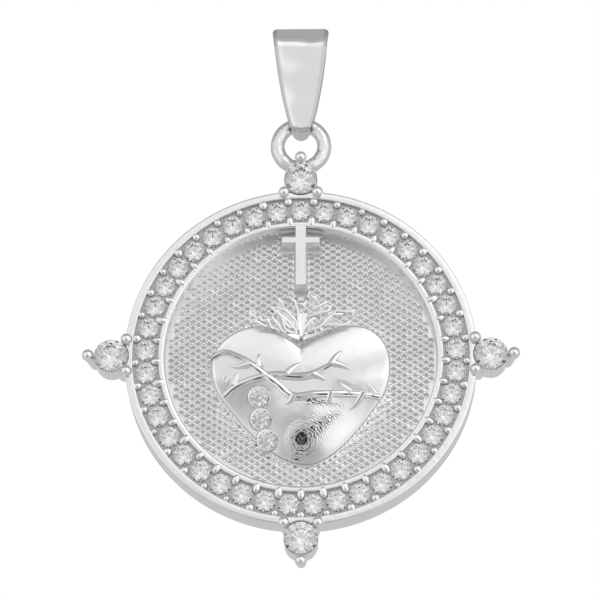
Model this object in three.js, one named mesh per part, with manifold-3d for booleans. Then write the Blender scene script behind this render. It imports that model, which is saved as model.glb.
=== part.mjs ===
// Sacred heart pendant: a round medallion with a stone-set rim, swinging on a tapered bail.
// Millimetres, +Z up, the front faces -Y. The origin is the chain's seat: the inside top of the bail.
import * as THREE from 'three';
import { mergeVertices } from 'three/addons/utils/BufferGeometryUtils.js';
import { ConvexGeometry } from 'three/addons/geometries/ConvexGeometry.js';
import Module from 'manifold-3d';

const wasm = await Module();
wasm.setup();

// Clearances
const solderGap = 0.02; // between pieces that are soldered together
const settingGap = 0.03; // between a stone and its seat
const ringPlay = 0.05; // between the bail's bend and the inside of the jump ring

// Rim: an outer wall, a stone channel and an inner wall
const rimRadius = 12.3;
const rimThickness = 2.1;
const outerWall = 0.55;
const innerWall = 0.45;
const rimChamfer = 0.12;
const channelDepth = 0.5;

// Channel stones, with the beads that hold them
const channelStoneCount = 41;
const channelStoneSpace = 0.16; // between the girdles of two neighbours
const channelMargin = 0.15; // between a girdle and the channel's wall
const channelStoneSink = 0.2; // from the rim's front down to the girdle
const beadRadius = 0.25;
const beadSink = 0.08; // how far a bead runs into the channel's wall
const beadRise = 0.05; // above the rim's front

// Proportions of a round stone, as shares of its diameter
const tableShare = 0.57;
const crownShare = 0.16;
const pavilionShare = 0.43;
const girdleShare = 0.03;
const kiteReach = 0.39; // from the axis to where a crown's kites meet
const kiteRise = 0.62; // of the crown's height
const mainReach = 0.1; // from the axis to where the pavilion's halves end
const mainDepth = 0.82; // of the pavilion's depth

// Four corner settings: a cup and three prongs round a larger stone
const cornerStoneDiameter = 2.3;
const cupLetIn = 0.25; // how far a cup is let into the rim
const cornerStoneRise = 0.05; // from the rim's front out to the girdle
const cupWall = 0.05; // how far the cup stands out past the girdle
const cupTaper = 0.1; // how much narrower the cup is at the back
const cupHole = 0.5;
const cupLip = 0.08; // from the girdle down to the cup's edge
const prongBall = 0.42;
const prongLeg = 0.34;
const prongLean = 0.4; // how far a leg slants inward toward the back
const prongLift = 0.08; // from the girdle out to the ball's centre
const prongSpread = THREE.MathUtils.degToRad(133);

// Field plate and the pieces on it
const fieldDepth = 1.3; // from the rim's front down to the plate
const crossHalfSpan = 1.35;
const crossBar = 0.75;
const crossArm = 0.46;
const crossArmDrop = 0.92; // from the inner wall down to the middle of the arms
const crossLength = 4.31; // from the inner wall down to the foot
const crossLetIn = 0.25; // how far the cross's head is let into the inner wall
const crossBevel = 0.1;
const padHalfWidth = 1.43;
const padLength = 1.55; // from the inner wall's height down to the pad's foot
const padThickness = 0.12;

// Heart
const heartHalfWidth = 6.33;
const heartLobeTop = 2.12;
const heartNotch = 1.15;
const heartTip = 7.81; // below the medallion's centre
const heartTipShift = 0.35;
const heartWidest = 0.9; // below the medallion's centre
const heartFlank = 3.1; // below the centre, where a lobe runs into the straighter flank
const heartRise = 2.0;
const heartCrest = 0.1; // the dome's highest place, to the right of the centre
const heartCrestDrop = 1.0; // and below it
const lobeWall = 1.68; // the upright wall round the lobes, under their low crown
const lobePower = 2; // a larger power keeps the dome flat for longer
const lobeFall = 1; // a smaller power makes the dome steeper at its edge
const flankWall = 0.34; // the same three below, where the flanks slope down to the tip
const flankPower = 1.6;
const flankFall = 0.9;
const lobeStart = 0.05; // the sine of the direction above which the lobes' form holds
const flankStart = -0.8; // and below which the flanks' form holds

// Heart stones, in a raised bed down the heart's left side
const heartStoneCount = 3;
const heartStoneDiameter = 1.4;
const heartStoneSpace = 0.07;
const heartStoneLeft = 2.9; // the top stone, left of the medallion's centre
const heartStoneDrop = 3.15; // and below it
const heartStoneRow = THREE.MathUtils.degToRad(5); // the row's slant at its top
const heartStoneBend = THREE.MathUtils.degToRad(12); // more slant for each stone
const bedWall = 0.14;
const bedRise = 0.12;
const bedDepth = 0.9;

// Thorn vines: places from left to right, as shares of the heart's half width and of its depth
const vineRadius = 0.31;
const vineSides = 6;
const vineEmbed = 0.08; // how far a vine would sink into the dome, where it is cut to fit
const vineUpper = [
  [-1.04, -0.08], [-0.86, 0.01], [-0.7, -0.03], [-0.55, -0.1], [-0.37, -0.21], [-0.24, -0.29],
  [-0.07, -0.4], [0.16, -0.38], [0.43, -0.36], [0.71, -0.37], [0.86, -0.38],
];
const vineLower = [
  [-0.85, -0.38], [-0.73, -0.3], [-0.58, -0.25], [-0.41, -0.22], [-0.24, -0.2],
  [0.01, -0.22], [0.16, -0.19], [0.3, -0.13], [0.41, -0.08],
];
// Thorns: a root on a vine and a tip, as the same shares
const thorns = [
  [[-0.45, -0.14], [-0.45, -0.02]], [[-0.55, -0.11], [-0.79, -0.12]], [[-0.73, -0.29], [-0.68, -0.18]],
  [[-0.14, -0.2], [0.02, -0.11]], [[0.35, -0.12], [0.46, 0.01]], [[0.35, -0.11], [0.55, -0.17]],
  [[0.14, -0.21], [0.28, -0.27]], [[0.82, -0.37], [0.73, -0.25]], [[0.68, -0.36], [0.53, -0.52]],
  [[-0.08, -0.4], [-0.17, -0.48]], [[0.33, -0.37], [0.27, -0.48]], [[0.55, -0.36], [0.43, -0.28]],
];
const thornRoot = 0.2;
const thornTip = 0.04;

// Flame: tongues that fan out from the heart's notch
const tongueCount = 11;
const tongueSpread = THREE.MathUtils.degToRad(68);
const tongueSide = 4.1; // length of the outermost tongues
const tongueMiddle = 3.6; // length in the middle of the fan
const tongueStep = 0.5; // how much shorter every second tongue is
const tongueWidth = 0.5;
const tongueRise = 0.42;
const tongueSwell = 0.18; // where a tongue's root lies on the half wave that gives its width
const tongueCurl = 0.55; // sideways sweep of a tongue's tip
const tongueShoulder = 0.3; // height of a tongue's sides, as a share of its ridge
const tongueNeck = 0.12; // width of a tongue's root and tip, as a share of its widest
const flameRoot = 0.1; // from the heart's notch up to where the tongues meet

// Jump ring
const wireRadius = 0.52;
const ringRadius = 1.67; // to the middle of the wire
const ringStandOff = 0.03; // from the cup's side up to the middle of the wire

// Bail: a strip folded into a loop, tapered toward the ring
const stripThickness = 0.35;
const bailTopWidth = 4.05;
const bailFootWidth = 1.32;
const bailTopBend = 1.85; // outer radius
const bailFootBend = 1.25; // outer radius
const bailHeight = 8.55;
const bailCorner = 0.3;
const bailFootRound = 0.42;
const bailFootFullness = 0.85; // how square the foot's corners are
const bailWaistHeight = 0.32; // where the taper bends most, as a share of the height
const bailWaistWidth = 0.76; // and how wide it aims there, as a share of the top

// Worked out from the sizes above
const front = -rimThickness / 2;
const back = rimThickness / 2;
const halfPitch = Math.PI / channelStoneCount;
const channelRadius = (rimRadius - outerWall - channelMargin + channelStoneSpace / 2)
  / (1 + Math.sin(halfPitch));
const channelStoneDiameter = 2 * channelRadius * Math.sin(halfPitch) - channelStoneSpace;
const channelOuter = rimRadius - outerWall;
const channelInner = channelRadius - channelStoneDiameter / 2 - channelMargin;
const fieldRadius = channelInner - innerWall;
const channelFloor = front + channelDepth;
const channelGirdle = front + channelStoneSink;
const cornerGirdle = front - cornerStoneRise;
const cupRadius = cornerStoneDiameter / 2 + cupWall;
const cornerStoneRadius = rimRadius + cupRadius - cupLetIn;
const prongReach = cornerStoneDiameter / 2 + settingGap + prongBall;
const plateFront = front + fieldDepth;
const reliefBack = plateFront - solderGap;
const crossArmHeight = fieldRadius - crossArmDrop;
const crossFoot = fieldRadius - crossLength;
const padFoot = fieldRadius - padLength;
const heartMiddle = new THREE.Vector2(heartCrest, -heartCrestDrop);
const heartStoneTop = new THREE.Vector2(-heartStoneLeft, -heartStoneDrop);
const ringCentre = cornerStoneRadius + cupRadius + ringStandOff + ringRadius;
const ringInside = ringRadius - wireRadius;
const bailFootInside = ringCentre + Math.sqrt(ringInside ** 2 - (bailFootWidth / 2) ** 2) - ringPlay;
const bailBottom = bailFootInside - stripThickness;
const bailTop = bailBottom + bailHeight;
const chainSeat = bailTop - stripThickness;

// Sides of the round pieces
const cupSides = 16;
const prongSides = 6;
const beadSides = 5;

// Materials
const whiteMetal = { metalness: 1, roughness: 0.12, color: 0xe4e4e6 };
const metal = new THREE.MeshStandardMaterial({ ...whiteMetal, name: 'rhodium_plate' });
const satin = new THREE.MeshStandardMaterial({ ...whiteMetal, roughness: 0.3, name: 'satin_plate' });
const zirconia = new THREE.MeshStandardMaterial({
  color: 0xf4f6f8, roughness: 0.02, metalness: 0, transparent: true, opacity: 0.5, name: 'cubic_zirconia',
});

// A geometry with shared corners, no collapsed triangles and its faces pointing out
function closed(geometry) {
  const bare = geometry.clone();
  bare.deleteAttribute('normal');
  bare.deleteAttribute('uv');
  const merged = mergeVertices(bare, 1e-5);
  const index = merged.index.array;
  const kept = [];
  let volume = 0;
  const a = new THREE.Vector3();
  const b = new THREE.Vector3();
  const c = new THREE.Vector3();
  for (let i = 0; i < index.length; i += 3) {
    const [p, q, r] = [index[i], index[i + 1], index[i + 2]];
    if (p !== q && q !== r && r !== p) {
      kept.push(p, q, r);
      a.fromBufferAttribute(merged.attributes.position, p);
      b.fromBufferAttribute(merged.attributes.position, q);
      c.fromBufferAttribute(merged.attributes.position, r);
      volume += a.dot(b.cross(c));
    }
  }
  if (volume < 0) kept.reverse();
  merged.setIndex(kept);
  return merged;
}

function toSolid(geometry) {
  const mesh = closed(geometry);
  return new wasm.Manifold(new wasm.Mesh({
    numProp: 3,
    vertProperties: new Float32Array(mesh.attributes.position.array),
    triVerts: new Uint32Array(mesh.index.array),
  }));
}

function toGeometry(solid) {
  const mesh = solid.getMesh();
  const geometry = new THREE.BufferGeometry();
  geometry.setAttribute('position', new THREE.BufferAttribute(mesh.vertProperties, 3));
  geometry.setIndex(new THREE.BufferAttribute(mesh.triVerts, 1));
  geometry.computeVertexNormals();
  return geometry;
}

function joined(solids) {
  return solids.reduce((whole, solid) => whole.add(solid));
}

// A closed profile of [radius, y] pairs turned round the Y axis
function turned(profile, segments) {
  const points = profile.map(([radius, y]) => new THREE.Vector2(radius, y));
  return new THREE.LatheGeometry(points, segments);
}

// A point of the medallion at a radius and an angle, clockwise from twelve o'clock
function onDial(radius, angle, y) {
  return new THREE.Vector3(radius * Math.sin(angle), y, radius * Math.cos(angle));
}

// A ring of points round the Y axis
function circlePoints(radius, y, count, turn) {
  return Array.from({ length: count }, (_, i) => onDial(radius, (2 * Math.PI * i) / count + turn, y));
}

// How far the pavilion of a stone reaches out at a depth behind its girdle
function pavilionRadius(diameter, depth) {
  const below = Math.max(0, depth - (girdleShare * diameter) / 2);
  return (diameter / 2) * (1 - below / (pavilionShare * diameter));
}

// A stone with an eight-sided table, crown and pavilion; its girdle lies at the origin, its table at -Y
function singleCut(diameter) {
  const girdle = (girdleShare * diameter) / 2;
  const turn = Math.PI / 8;
  return closed(new ConvexGeometry([
    ...circlePoints((tableShare * diameter) / 2, -girdle - crownShare * diameter, 8, turn),
    ...circlePoints(diameter / 2, -girdle, 8, turn),
    ...circlePoints(diameter / 2, girdle, 8, turn),
    new THREE.Vector3(0, girdle + pavilionShare * diameter, 0),
  ]));
}

// A stone with star, kite and girdle facets over pavilion mains
function brilliantCut(diameter) {
  const girdle = (girdleShare * diameter) / 2;
  const crown = crownShare * diameter;
  const pavilion = pavilionShare * diameter;
  const turn = Math.PI / 8;
  return closed(new ConvexGeometry([
    ...circlePoints((tableShare * diameter) / 2, -girdle - crown, 8, turn),
    ...circlePoints(kiteReach * diameter, -girdle - kiteRise * crown, 8, 0),
    ...circlePoints(diameter / 2, -girdle, 16, 0),
    ...circlePoints(diameter / 2, girdle, 16, 0),
    ...circlePoints(mainReach * diameter, girdle + mainDepth * pavilion, 8, turn),
    new THREE.Vector3(0, girdle + pavilion, 0),
  ]));
}

// Rim frame

function rimWalls() {
  return toSolid(turned([
    [fieldRadius, back], [rimRadius - rimChamfer, back], [rimRadius, back - rimChamfer],
    [rimRadius, front + rimChamfer], [rimRadius - rimChamfer, front], [channelOuter, front],
    [channelOuter, channelFloor], [channelInner, channelFloor], [channelInner, front],
    [fieldRadius, front], [fieldRadius, back],
  ], 2 * channelStoneCount));
}

function seatHole(angle) {
  const radius = pavilionRadius(channelStoneDiameter, channelFloor - channelGirdle) + settingGap;
  const flat = radius / Math.cos(Math.PI / 8);
  const hole = new THREE.CylinderGeometry(flat, flat, 2 * rimThickness, 8);
  hole.rotateY(Math.PI / 8).translate(0, 0, channelRadius).rotateY(angle);
  return toSolid(hole);
}

function bead(radius, angle) {
  const grip = turned([
    [0, channelFloor + beadSink], [beadRadius, channelFloor + beadSink],
    [beadRadius, front + beadSink], [0, front - beadRise],
  ], beadSides);
  return toSolid(grip.translate(0, 0, radius).rotateY(angle));
}

// The space that the cup of a corner setting takes out of the rim
function cupSpace(angle) {
  const radius = cupRadius + solderGap;
  const space = new THREE.CylinderGeometry(radius, radius, 2 * rimThickness, cupSides);
  return toSolid(space.translate(0, 0, cornerStoneRadius).rotateY(angle));
}

function crossSlot() {
  const slot = new THREE.BoxGeometry(
    crossBar + 2 * solderGap, fieldDepth, 2 * crossLetIn + 2 * solderGap,
  );
  return toSolid(slot.translate(0, front + fieldDepth / 2, fieldRadius));
}

const cornerAngles = [0, 1, 2, 3].map((quarter) => (quarter * Math.PI) / 2);
const stoneAngles = Array.from({ length: channelStoneCount }, (_, i) => 2 * halfPitch * i);

function rimFrame() {
  const beads = stoneAngles.flatMap((angle) => [
    bead(channelOuter - beadRadius + beadSink, angle + halfPitch),
    bead(channelInner + beadRadius - beadSink, angle + halfPitch),
  ]);
  return rimWalls()
    .add(joined(beads))
    .subtract(joined(stoneAngles.map(seatHole)))
    .subtract(joined(cornerAngles.map(cupSpace)))
    .subtract(crossSlot());
}

function fieldPlate() {
  const radius = fieldRadius - solderGap;
  return closed(turned(
    [[0, plateFront], [radius, plateFront], [radius, back], [0, back]],
    2 * channelStoneCount,
  ));
}

// Corner settings, made round their own stone, with the medallion's middle toward -Z

function cup() {
  const depth = back - cornerGirdle;
  const lipInside = pavilionRadius(cornerStoneDiameter, cupLip) + settingGap;
  const steepness = (pavilionShare * cornerStoneDiameter) / (cornerStoneDiameter / 2);
  const seatDepth = cupLip + (lipInside - cupHole) * steepness;
  return toSolid(turned([
    [cupHole, depth], [cupRadius - cupTaper, depth], [cupRadius, cupLip + cupTaper],
    [cupRadius - cupWall / 2, cupLip], [lipInside, cupLip], [cupHole, seatDepth], [cupHole, depth],
  ], cupSides));
}

// A leg that leans inward toward the back, with a ball at its front end
function prong(angle, extra) {
  const length = back - cornerGirdle + prongLift;
  const ball = prongBall + extra;
  const leg = prongLeg + extra;
  const lean = Math.atan2(prongLean, length);
  const neck = Math.sqrt(ball ** 2 - leg ** 2);
  const arc = [0, 1, 2, 3].map((step) => (step * Math.PI) / 6);
  const profile = [
    ...arc.map((turn) => [ball * Math.sin(turn), -ball * Math.cos(turn)]),
    [leg, neck], [leg, length / Math.cos(lean)], [0, length / Math.cos(lean)],
  ];
  const geometry = turned(profile, prongSides);
  geometry.rotateX(-lean).translate(0, -prongLift, prongReach).rotateY(angle);
  return toSolid(geometry);
}

// Everything in front of the medallion's flat back
function beforeBack(solid) {
  const depth = back - cornerGirdle;
  const size = 4 * rimRadius;
  const behind = new THREE.BoxGeometry(size, size, size).translate(0, depth + size / 2, 0);
  return solid.subtract(toSolid(behind));
}

// The rim as seen by a corner setting, with room for solder
function rimSpace() {
  const radius = rimRadius + solderGap;
  const depth = rimThickness + 2 * solderGap;
  const space = new THREE.CylinderGeometry(radius, radius, depth, 2 * channelStoneCount);
  space.translate(0, depth / 2 + (front - solderGap - cornerGirdle), -cornerStoneRadius);
  return toSolid(space);
}

function stoneSpace() {
  const radius = cornerStoneDiameter / 2 + settingGap / 2;
  const height = 2 * crownShare * cornerStoneDiameter;
  return toSolid(new THREE.CylinderGeometry(radius, radius, height, cupSides));
}

const prongAngles = [0, prongSpread, -prongSpread];

function collet() {
  const prongs = joined(prongAngles.map((angle) => prong(angle, 0)));
  const bore = new THREE.CylinderGeometry(cupHole, cupHole, 4 * rimThickness, cupSides);
  const trimmed = prongs.subtract(rimSpace()).subtract(stoneSpace()).subtract(toSolid(bore));
  return beforeBack(cup().add(trimmed));
}

// Jump ring: closed by the north setting, to which both its ends are soldered
function jumpRing() {
  const wire = new THREE.TorusGeometry(ringRadius, wireRadius, 8, 32);
  wire.rotateX(Math.PI / 2).translate(0, 0, ringCentre);
  const seatRadius = cupRadius + solderGap;
  const seat = new THREE.CylinderGeometry(seatRadius, seatRadius, 2 * rimThickness, cupSides);
  seat.translate(0, 0, cornerStoneRadius);
  const leg = prong(0, solderGap).translate(0, cornerGirdle, cornerStoneRadius);
  return toSolid(wire).subtract(toSolid(seat)).subtract(leg);
}

// Everything in front of the plate, for pieces soldered to it
function beforePlate(solid) {
  const size = 4 * rimRadius;
  const behind = new THREE.BoxGeometry(size, size, size).translate(0, reliefBack + size / 2, 0);
  return solid.subtract(toSolid(behind));
}

// Cross, let into the rim's inner wall, on a plain pad

function crossOutline(grow) {
  const head = fieldRadius + crossLetIn;
  const bar = crossBar / 2 - grow;
  const arm = crossArm / 2 - grow;
  const span = crossHalfSpan - grow;
  const half = [
    [bar, crossFoot + grow], [bar, crossArmHeight - arm], [span, crossArmHeight - arm],
    [span, crossArmHeight + arm], [bar, crossArmHeight + arm], [bar, head - grow],
  ];
  const mirrored = half.map(([x, z]) => [-x, z]).reverse();
  return new THREE.Shape([...half, ...mirrored].map(([x, z]) => new THREE.Vector2(x, z)));
}

function cross() {
  const body = new THREE.ExtrudeGeometry(crossOutline(crossBevel), {
    depth: fieldDepth - 2 * crossBevel, bevelThickness: crossBevel, bevelSize: crossBevel,
    bevelSegments: 1,
  });
  body.rotateX(Math.PI / 2).translate(0, reliefBack - crossBevel, 0);
  const padHeight = Math.sqrt((fieldRadius - 2 * solderGap) ** 2 - padHalfWidth ** 2) - padFoot;
  const pad = new THREE.BoxGeometry(2 * padHalfWidth, padThickness, padHeight);
  pad.translate(0, reliefBack - padThickness / 2, padFoot + padHeight / 2);
  return beforePlate(toSolid(body).add(toSolid(pad)));
}

// Heart

function heartOutline() {
  const wide = heartHalfWidth;
  const top = heartLobeTop;
  const notchArc = heartNotch + 0.12 * heartLobeTop;
  const tip = -heartTip;
  const flank = -heartFlank;
  const outline = new THREE.Shape();
  outline.moveTo(0, heartNotch);
  outline.bezierCurveTo(-0.11 * wide, notchArc, -0.27 * wide, top, -0.45 * wide, top);
  outline.bezierCurveTo(-0.74 * wide, top, -wide, 0.35 * top, -wide, -heartWidest);
  outline.bezierCurveTo(-wide, 0.55 * flank, -0.97 * wide, 0.8 * flank, -0.9 * wide, flank);
  outline.bezierCurveTo(-0.76 * wide, 0.55 * tip, -0.48 * wide, 0.81 * tip, -0.26 * wide, 0.92 * tip);
  outline.bezierCurveTo(-0.15 * wide, 0.97 * tip, -0.05 * wide, tip, heartTipShift, tip);
  outline.bezierCurveTo(0.16 * wide, tip, 0.27 * wide, 0.96 * tip, 0.38 * wide, 0.89 * tip);
  outline.bezierCurveTo(0.58 * wide, 0.76 * tip, 0.78 * wide, 0.54 * tip, 0.91 * wide, flank);
  outline.bezierCurveTo(0.97 * wide, 0.8 * flank, wide, 0.55 * flank, wide, -heartWidest);
  outline.bezierCurveTo(wide, 0.38 * top, 0.84 * wide, top, 0.57 * wide, top);
  outline.bezierCurveTo(0.35 * wide, top, 0.13 * wide, notchArc, 0, heartNotch);
  return outline;
}

const heartEdgePoints = heartOutline().getSpacedPoints(48).slice(0, -1);
const heartEdgePolar = heartEdgePoints.map((point) => {
  const arm = point.clone().sub(heartMiddle);
  return { angle: Math.atan2(arm.y, arm.x), reach: arm.length() };
}).sort((one, other) => one.angle - other.angle);

// The heart's reach from its middle at an angle, between the two outline points beside it
function heartReach(angle) {
  const count = heartEdgePolar.length;
  const after = heartEdgePolar.findIndex((entry) => entry.angle >= angle);
  const next = heartEdgePolar[after < 0 ? 0 : after];
  const last = heartEdgePolar[((after < 0 ? 0 : after) + count - 1) % count];
  const width = (next.angle - last.angle + 2 * Math.PI) % (2 * Math.PI);
  const share = ((angle - last.angle + 2 * Math.PI) % (2 * Math.PI)) / width;
  return last.reach + share * (next.reach - last.reach);
}

// The heart's height in a direction, at a share of the way out from the middle: a wall and a dome on it.
// The lobes have a high wall and a low crown, and the flanks slope nearly all the way to the plate.
function domeHeight(share, angle) {
  const lobe = THREE.MathUtils.smoothstep(Math.sin(angle), flankStart, lobeStart);
  const wall = THREE.MathUtils.lerp(flankWall, lobeWall, lobe);
  const power = THREE.MathUtils.lerp(flankPower, lobePower, lobe);
  const fall = THREE.MathUtils.lerp(flankFall, lobeFall, lobe);
  return wall + (heartRise - wall) * (1 - Math.min(share, 1) ** power) ** fall;
}

// The front surface at a place on the heart; past its outline it goes on at the edge's height
function reliefY(x, z) {
  const arm = new THREE.Vector2(x, z).sub(heartMiddle);
  const angle = Math.atan2(arm.y, arm.x);
  return reliefBack - domeHeight(arm.length() / heartReach(angle), angle);
}

function reliefNormal(x, z) {
  const step = 0.05;
  const slopeX = (reliefY(x + step, z) - reliefY(x - step, z)) / (2 * step);
  const slopeZ = (reliefY(x, z + step) - reliefY(x, z - step)) / (2 * step);
  return new THREE.Vector3(slopeX, -1, slopeZ).normalize();
}

// The dome as rings of the outline drawn in toward the middle; grow makes it larger all over
function heartDome(grow) {
  const shares = [1, 1, 0.95, 0.86, 0.72, 0.54, 0.32];
  const rings = shares.map((share, ring) => heartEdgePoints.map((point) => {
    const arm = point.clone().sub(heartMiddle);
    const rise = domeHeight(share, Math.atan2(arm.y, arm.x));
    arm.setLength(arm.length() * share + grow).add(heartMiddle);
    const y = ring === 0 ? reliefBack + grow : reliefBack - rise - grow;
    return new THREE.Vector3(arm.x, y, arm.y);
  }));
  const count = heartEdgePoints.length;
  const corners = rings.flat();
  corners.push(new THREE.Vector3(heartMiddle.x, reliefBack - heartRise - grow, heartMiddle.y));
  corners.push(new THREE.Vector3(heartMiddle.x, reliefBack + grow, heartMiddle.y));
  const index = [];
  for (let i = 0; i < count; i += 1) {
    const j = (i + 1) % count;
    for (let ring = 0; ring + 1 < rings.length; ring += 1) {
      const [a, b] = [ring * count + i, ring * count + j];
      index.push(a, b, b + count, a, b + count, a + count);
    }
    const inner = (rings.length - 1) * count;
    index.push(inner + i, inner + j, corners.length - 2);
    index.push(j, i, corners.length - 1);
  }
  const geometry = new THREE.BufferGeometry().setFromPoints(corners);
  geometry.setIndex(index);
  return toSolid(geometry);
}

// The heart stones' middles in X and Z: a row whose slant grows from stone to stone
const heartStonePlaces = [heartStoneTop];
while (heartStonePlaces.length < heartStoneCount) {
  const last = heartStonePlaces.length - 1;
  const slant = heartStoneRow + heartStoneBend * last;
  const pitch = heartStoneDiameter + heartStoneSpace;
  const step = new THREE.Vector2(Math.sin(slant), -Math.cos(slant)).multiplyScalar(pitch);
  heartStonePlaces.push(step.add(heartStonePlaces[last]));
}

// Turns a piece made along -Y so that it stands on the heart at a place
function onHeart(geometry, place) {
  const normal = reliefNormal(place.x, place.y);
  const turn = new THREE.Quaternion().setFromUnitVectors(new THREE.Vector3(0, -1, 0), normal);
  return geometry.applyQuaternion(turn).translate(place.x, reliefY(place.x, place.y), place.y);
}

function stoneBed(place, grow) {
  const radius = heartStoneDiameter / 2 + bedWall + grow;
  const height = bedRise + bedDepth + grow;
  const bed = new THREE.CylinderGeometry(radius, radius, height, 14);
  bed.translate(0, height / 2 - bedRise - grow, 0);
  return toSolid(onHeart(bed, place));
}

// A well for a stone: its girdle's width at the mouth and its pavilion's slope below
function stoneWell(place) {
  const girdle = heartStoneDiameter / 2 + settingGap;
  const mouth = (crownShare + girdleShare) * heartStoneDiameter;
  const culet = (pavilionShare + girdleShare) * heartStoneDiameter + 2 * settingGap;
  const flat = girdle / Math.cos(Math.PI / 8);
  const well = turned([[0, -mouth], [flat, -mouth], [flat, settingGap], [0, culet]], 8);
  well.rotateY(Math.PI / 8);
  return toSolid(onHeart(well, place));
}

function heart() {
  const beds = joined(heartStonePlaces.map((place) => stoneBed(place, 0)));
  const wells = joined(heartStonePlaces.map(stoneWell));
  return beforePlate(heartDome(0).add(beds).subtract(wells));
}

const heartSpace = joined([
  heartDome(solderGap), ...heartStonePlaces.map((place) => stoneBed(place, solderGap)),
]);

// Crown of thorns: two vines that cross, with their thorns

function overHeart([across, up], lift) {
  const x = across * heartHalfWidth;
  const z = up * heartTip;
  return new THREE.Vector3(x, reliefY(x, z) - lift, z);
}

function vine(places) {
  const path = new THREE.CatmullRomCurve3(places.map((place) => overHeart(place, vineRadius - vineEmbed)));
  const section = new THREE.Shape(
    Array.from({ length: vineSides }, (_, i) => {
      const angle = (2 * Math.PI * i) / vineSides;
      return new THREE.Vector2(vineRadius * Math.cos(angle), vineRadius * Math.sin(angle));
    }),
  );
  return toSolid(new THREE.ExtrudeGeometry(section, { steps: 2 * places.length, extrudePath: path }));
}

function thorn([root, tip]) {
  const start = overHeart(root, vineRadius);
  const end = overHeart(tip, 2 * thornTip);
  const arm = end.clone().sub(start);
  const spike = new THREE.CylinderGeometry(thornTip, thornRoot, arm.length(), 4);
  const up = new THREE.Vector3(0, 1, 0);
  spike.applyQuaternion(new THREE.Quaternion().setFromUnitVectors(up, arm.clone().normalize()));
  const middle = start.add(end).multiplyScalar(0.5);
  return toSolid(spike.translate(middle.x, middle.y, middle.z));
}

function thornCrown() {
  const whole = joined([vine(vineUpper), vine(vineLower), ...thorns.map(thorn)]);
  return beforePlate(whole.subtract(heartSpace));
}

// Flame

// A ridged tongue along a swept line: narrow at the root, widest midway and pointed at the tip
function tongue(angle, length, curl) {
  const steps = 7;
  const rings = Array.from({ length: steps + 1 }, (_, i) => {
    const share = i / steps;
    const swell = Math.sin(Math.PI * THREE.MathUtils.lerp(tongueSwell, 1, share));
    const half = (tongueWidth / 2) * Math.max(tongueNeck, swell);
    const sweep = curl * share ** 2;
    const rise = tongueRise * (1 - (1 - tongueShoulder) * share);
    const shoulder = tongueShoulder * rise;
    return [
      [sweep - half, solderGap], [sweep - half, -shoulder], [sweep, -rise],
      [sweep + half, -shoulder], [sweep + half, solderGap],
    ].map(([side, y]) => new THREE.Vector3(side, reliefBack + y, share * length));
  });
  const index = [];
  const count = rings[0].length;
  for (let ring = 0; ring < steps; ring += 1) {
    for (let i = 0; i < count; i += 1) {
      const [a, b] = [ring * count + i, ring * count + ((i + 1) % count)];
      index.push(a, b, b + count, a, b + count, a + count);
    }
  }
  for (let i = 1; i + 1 < count; i += 1) {
    const end = steps * count;
    index.push(0, i + 1, i, end, end + i, end + i + 1);
  }
  const geometry = new THREE.BufferGeometry().setFromPoints(rings.flat());
  geometry.setIndex(index);
  geometry.rotateY(angle).translate(0, 0, heartNotch + flameRoot);
  return toSolid(geometry);
}

function flame() {
  const middle = (tongueCount - 1) / 2;
  const tongues = Array.from({ length: tongueCount }, (_, i) => {
    const side = (i - middle) / middle;
    const second = i % 2 === 1;
    const full = tongueMiddle + (tongueSide - tongueMiddle) * side ** 2;
    const curl = Math.sign(side) * (second ? -tongueCurl / 2 : tongueCurl);
    return tongue(side * tongueSpread, full - (second ? tongueStep : 0), curl);
  });
  return beforePlate(joined(tongues).subtract(heartSpace));
}

// Bail

// The strip's side view in Y and Z: two bends and the straight legs between them
function bailLoop(inset) {
  const topMiddle = bailTop - bailTopBend;
  const footMiddle = bailBottom + bailFootBend;
  const lean = Math.asin((bailTopBend - bailFootBend) / (topMiddle - footMiddle));
  const loop = new THREE.Path();
  loop.absarc(0, topMiddle, bailTopBend - inset, -lean, Math.PI + lean, false);
  loop.absarc(0, footMiddle, bailFootBend - inset, Math.PI + lean, 2 * Math.PI - lean, false);
  loop.closePath();
  return loop;
}

// The strip's front view: rounded corners at the top, a long taper and a round foot
function bailFace() {
  const top = bailTopWidth / 2;
  const foot = bailFootWidth / 2;
  const waist = bailWaistWidth * top;
  const waistHeight = bailBottom + bailWaistHeight * bailHeight;
  const face = new THREE.Shape();
  face.moveTo(0, bailBottom);
  face.quadraticCurveTo(bailFootFullness * foot, bailBottom, foot, bailBottom + bailFootRound);
  face.quadraticCurveTo(waist, waistHeight, top, bailTop - bailCorner);
  face.quadraticCurveTo(top, bailTop, top - bailCorner, bailTop);
  face.lineTo(bailCorner - top, bailTop);
  face.quadraticCurveTo(-top, bailTop, -top, bailTop - bailCorner);
  face.quadraticCurveTo(-waist, waistHeight, -foot, bailBottom + bailFootRound);
  face.quadraticCurveTo(-bailFootFullness * foot, bailBottom, 0, bailBottom);
  return face;
}

function bail() {
  const side = new THREE.Shape(bailLoop(0).getPoints(16));
  side.holes.push(bailLoop(stripThickness));
  const strip = new THREE.ExtrudeGeometry(side, {
    depth: 2 * bailTopWidth, bevelEnabled: false, curveSegments: 16,
  });
  strip.translate(0, 0, -bailTopWidth).rotateX(Math.PI / 2).rotateZ(Math.PI / 2);
  const face = new THREE.ExtrudeGeometry(bailFace(), {
    depth: 4 * bailTopBend, bevelEnabled: false, curveSegments: 7,
  });
  face.translate(0, 0, -2 * bailTopBend).rotateX(Math.PI / 2);
  return toSolid(strip).intersect(toSolid(face));
}

// Assembly

function piece(name, geometry, material, parent) {
  const mesh = new THREE.Mesh(geometry, material);
  mesh.name = name;
  parent.add(mesh);
  return mesh;
}

const pendant = new THREE.Group();
const bailGroup = new THREE.Group();
const medallion = new THREE.Group();
bailGroup.position.z = -chainSeat;
medallion.position.z = -chainSeat;
pendant.add(bailGroup, medallion);

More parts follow.
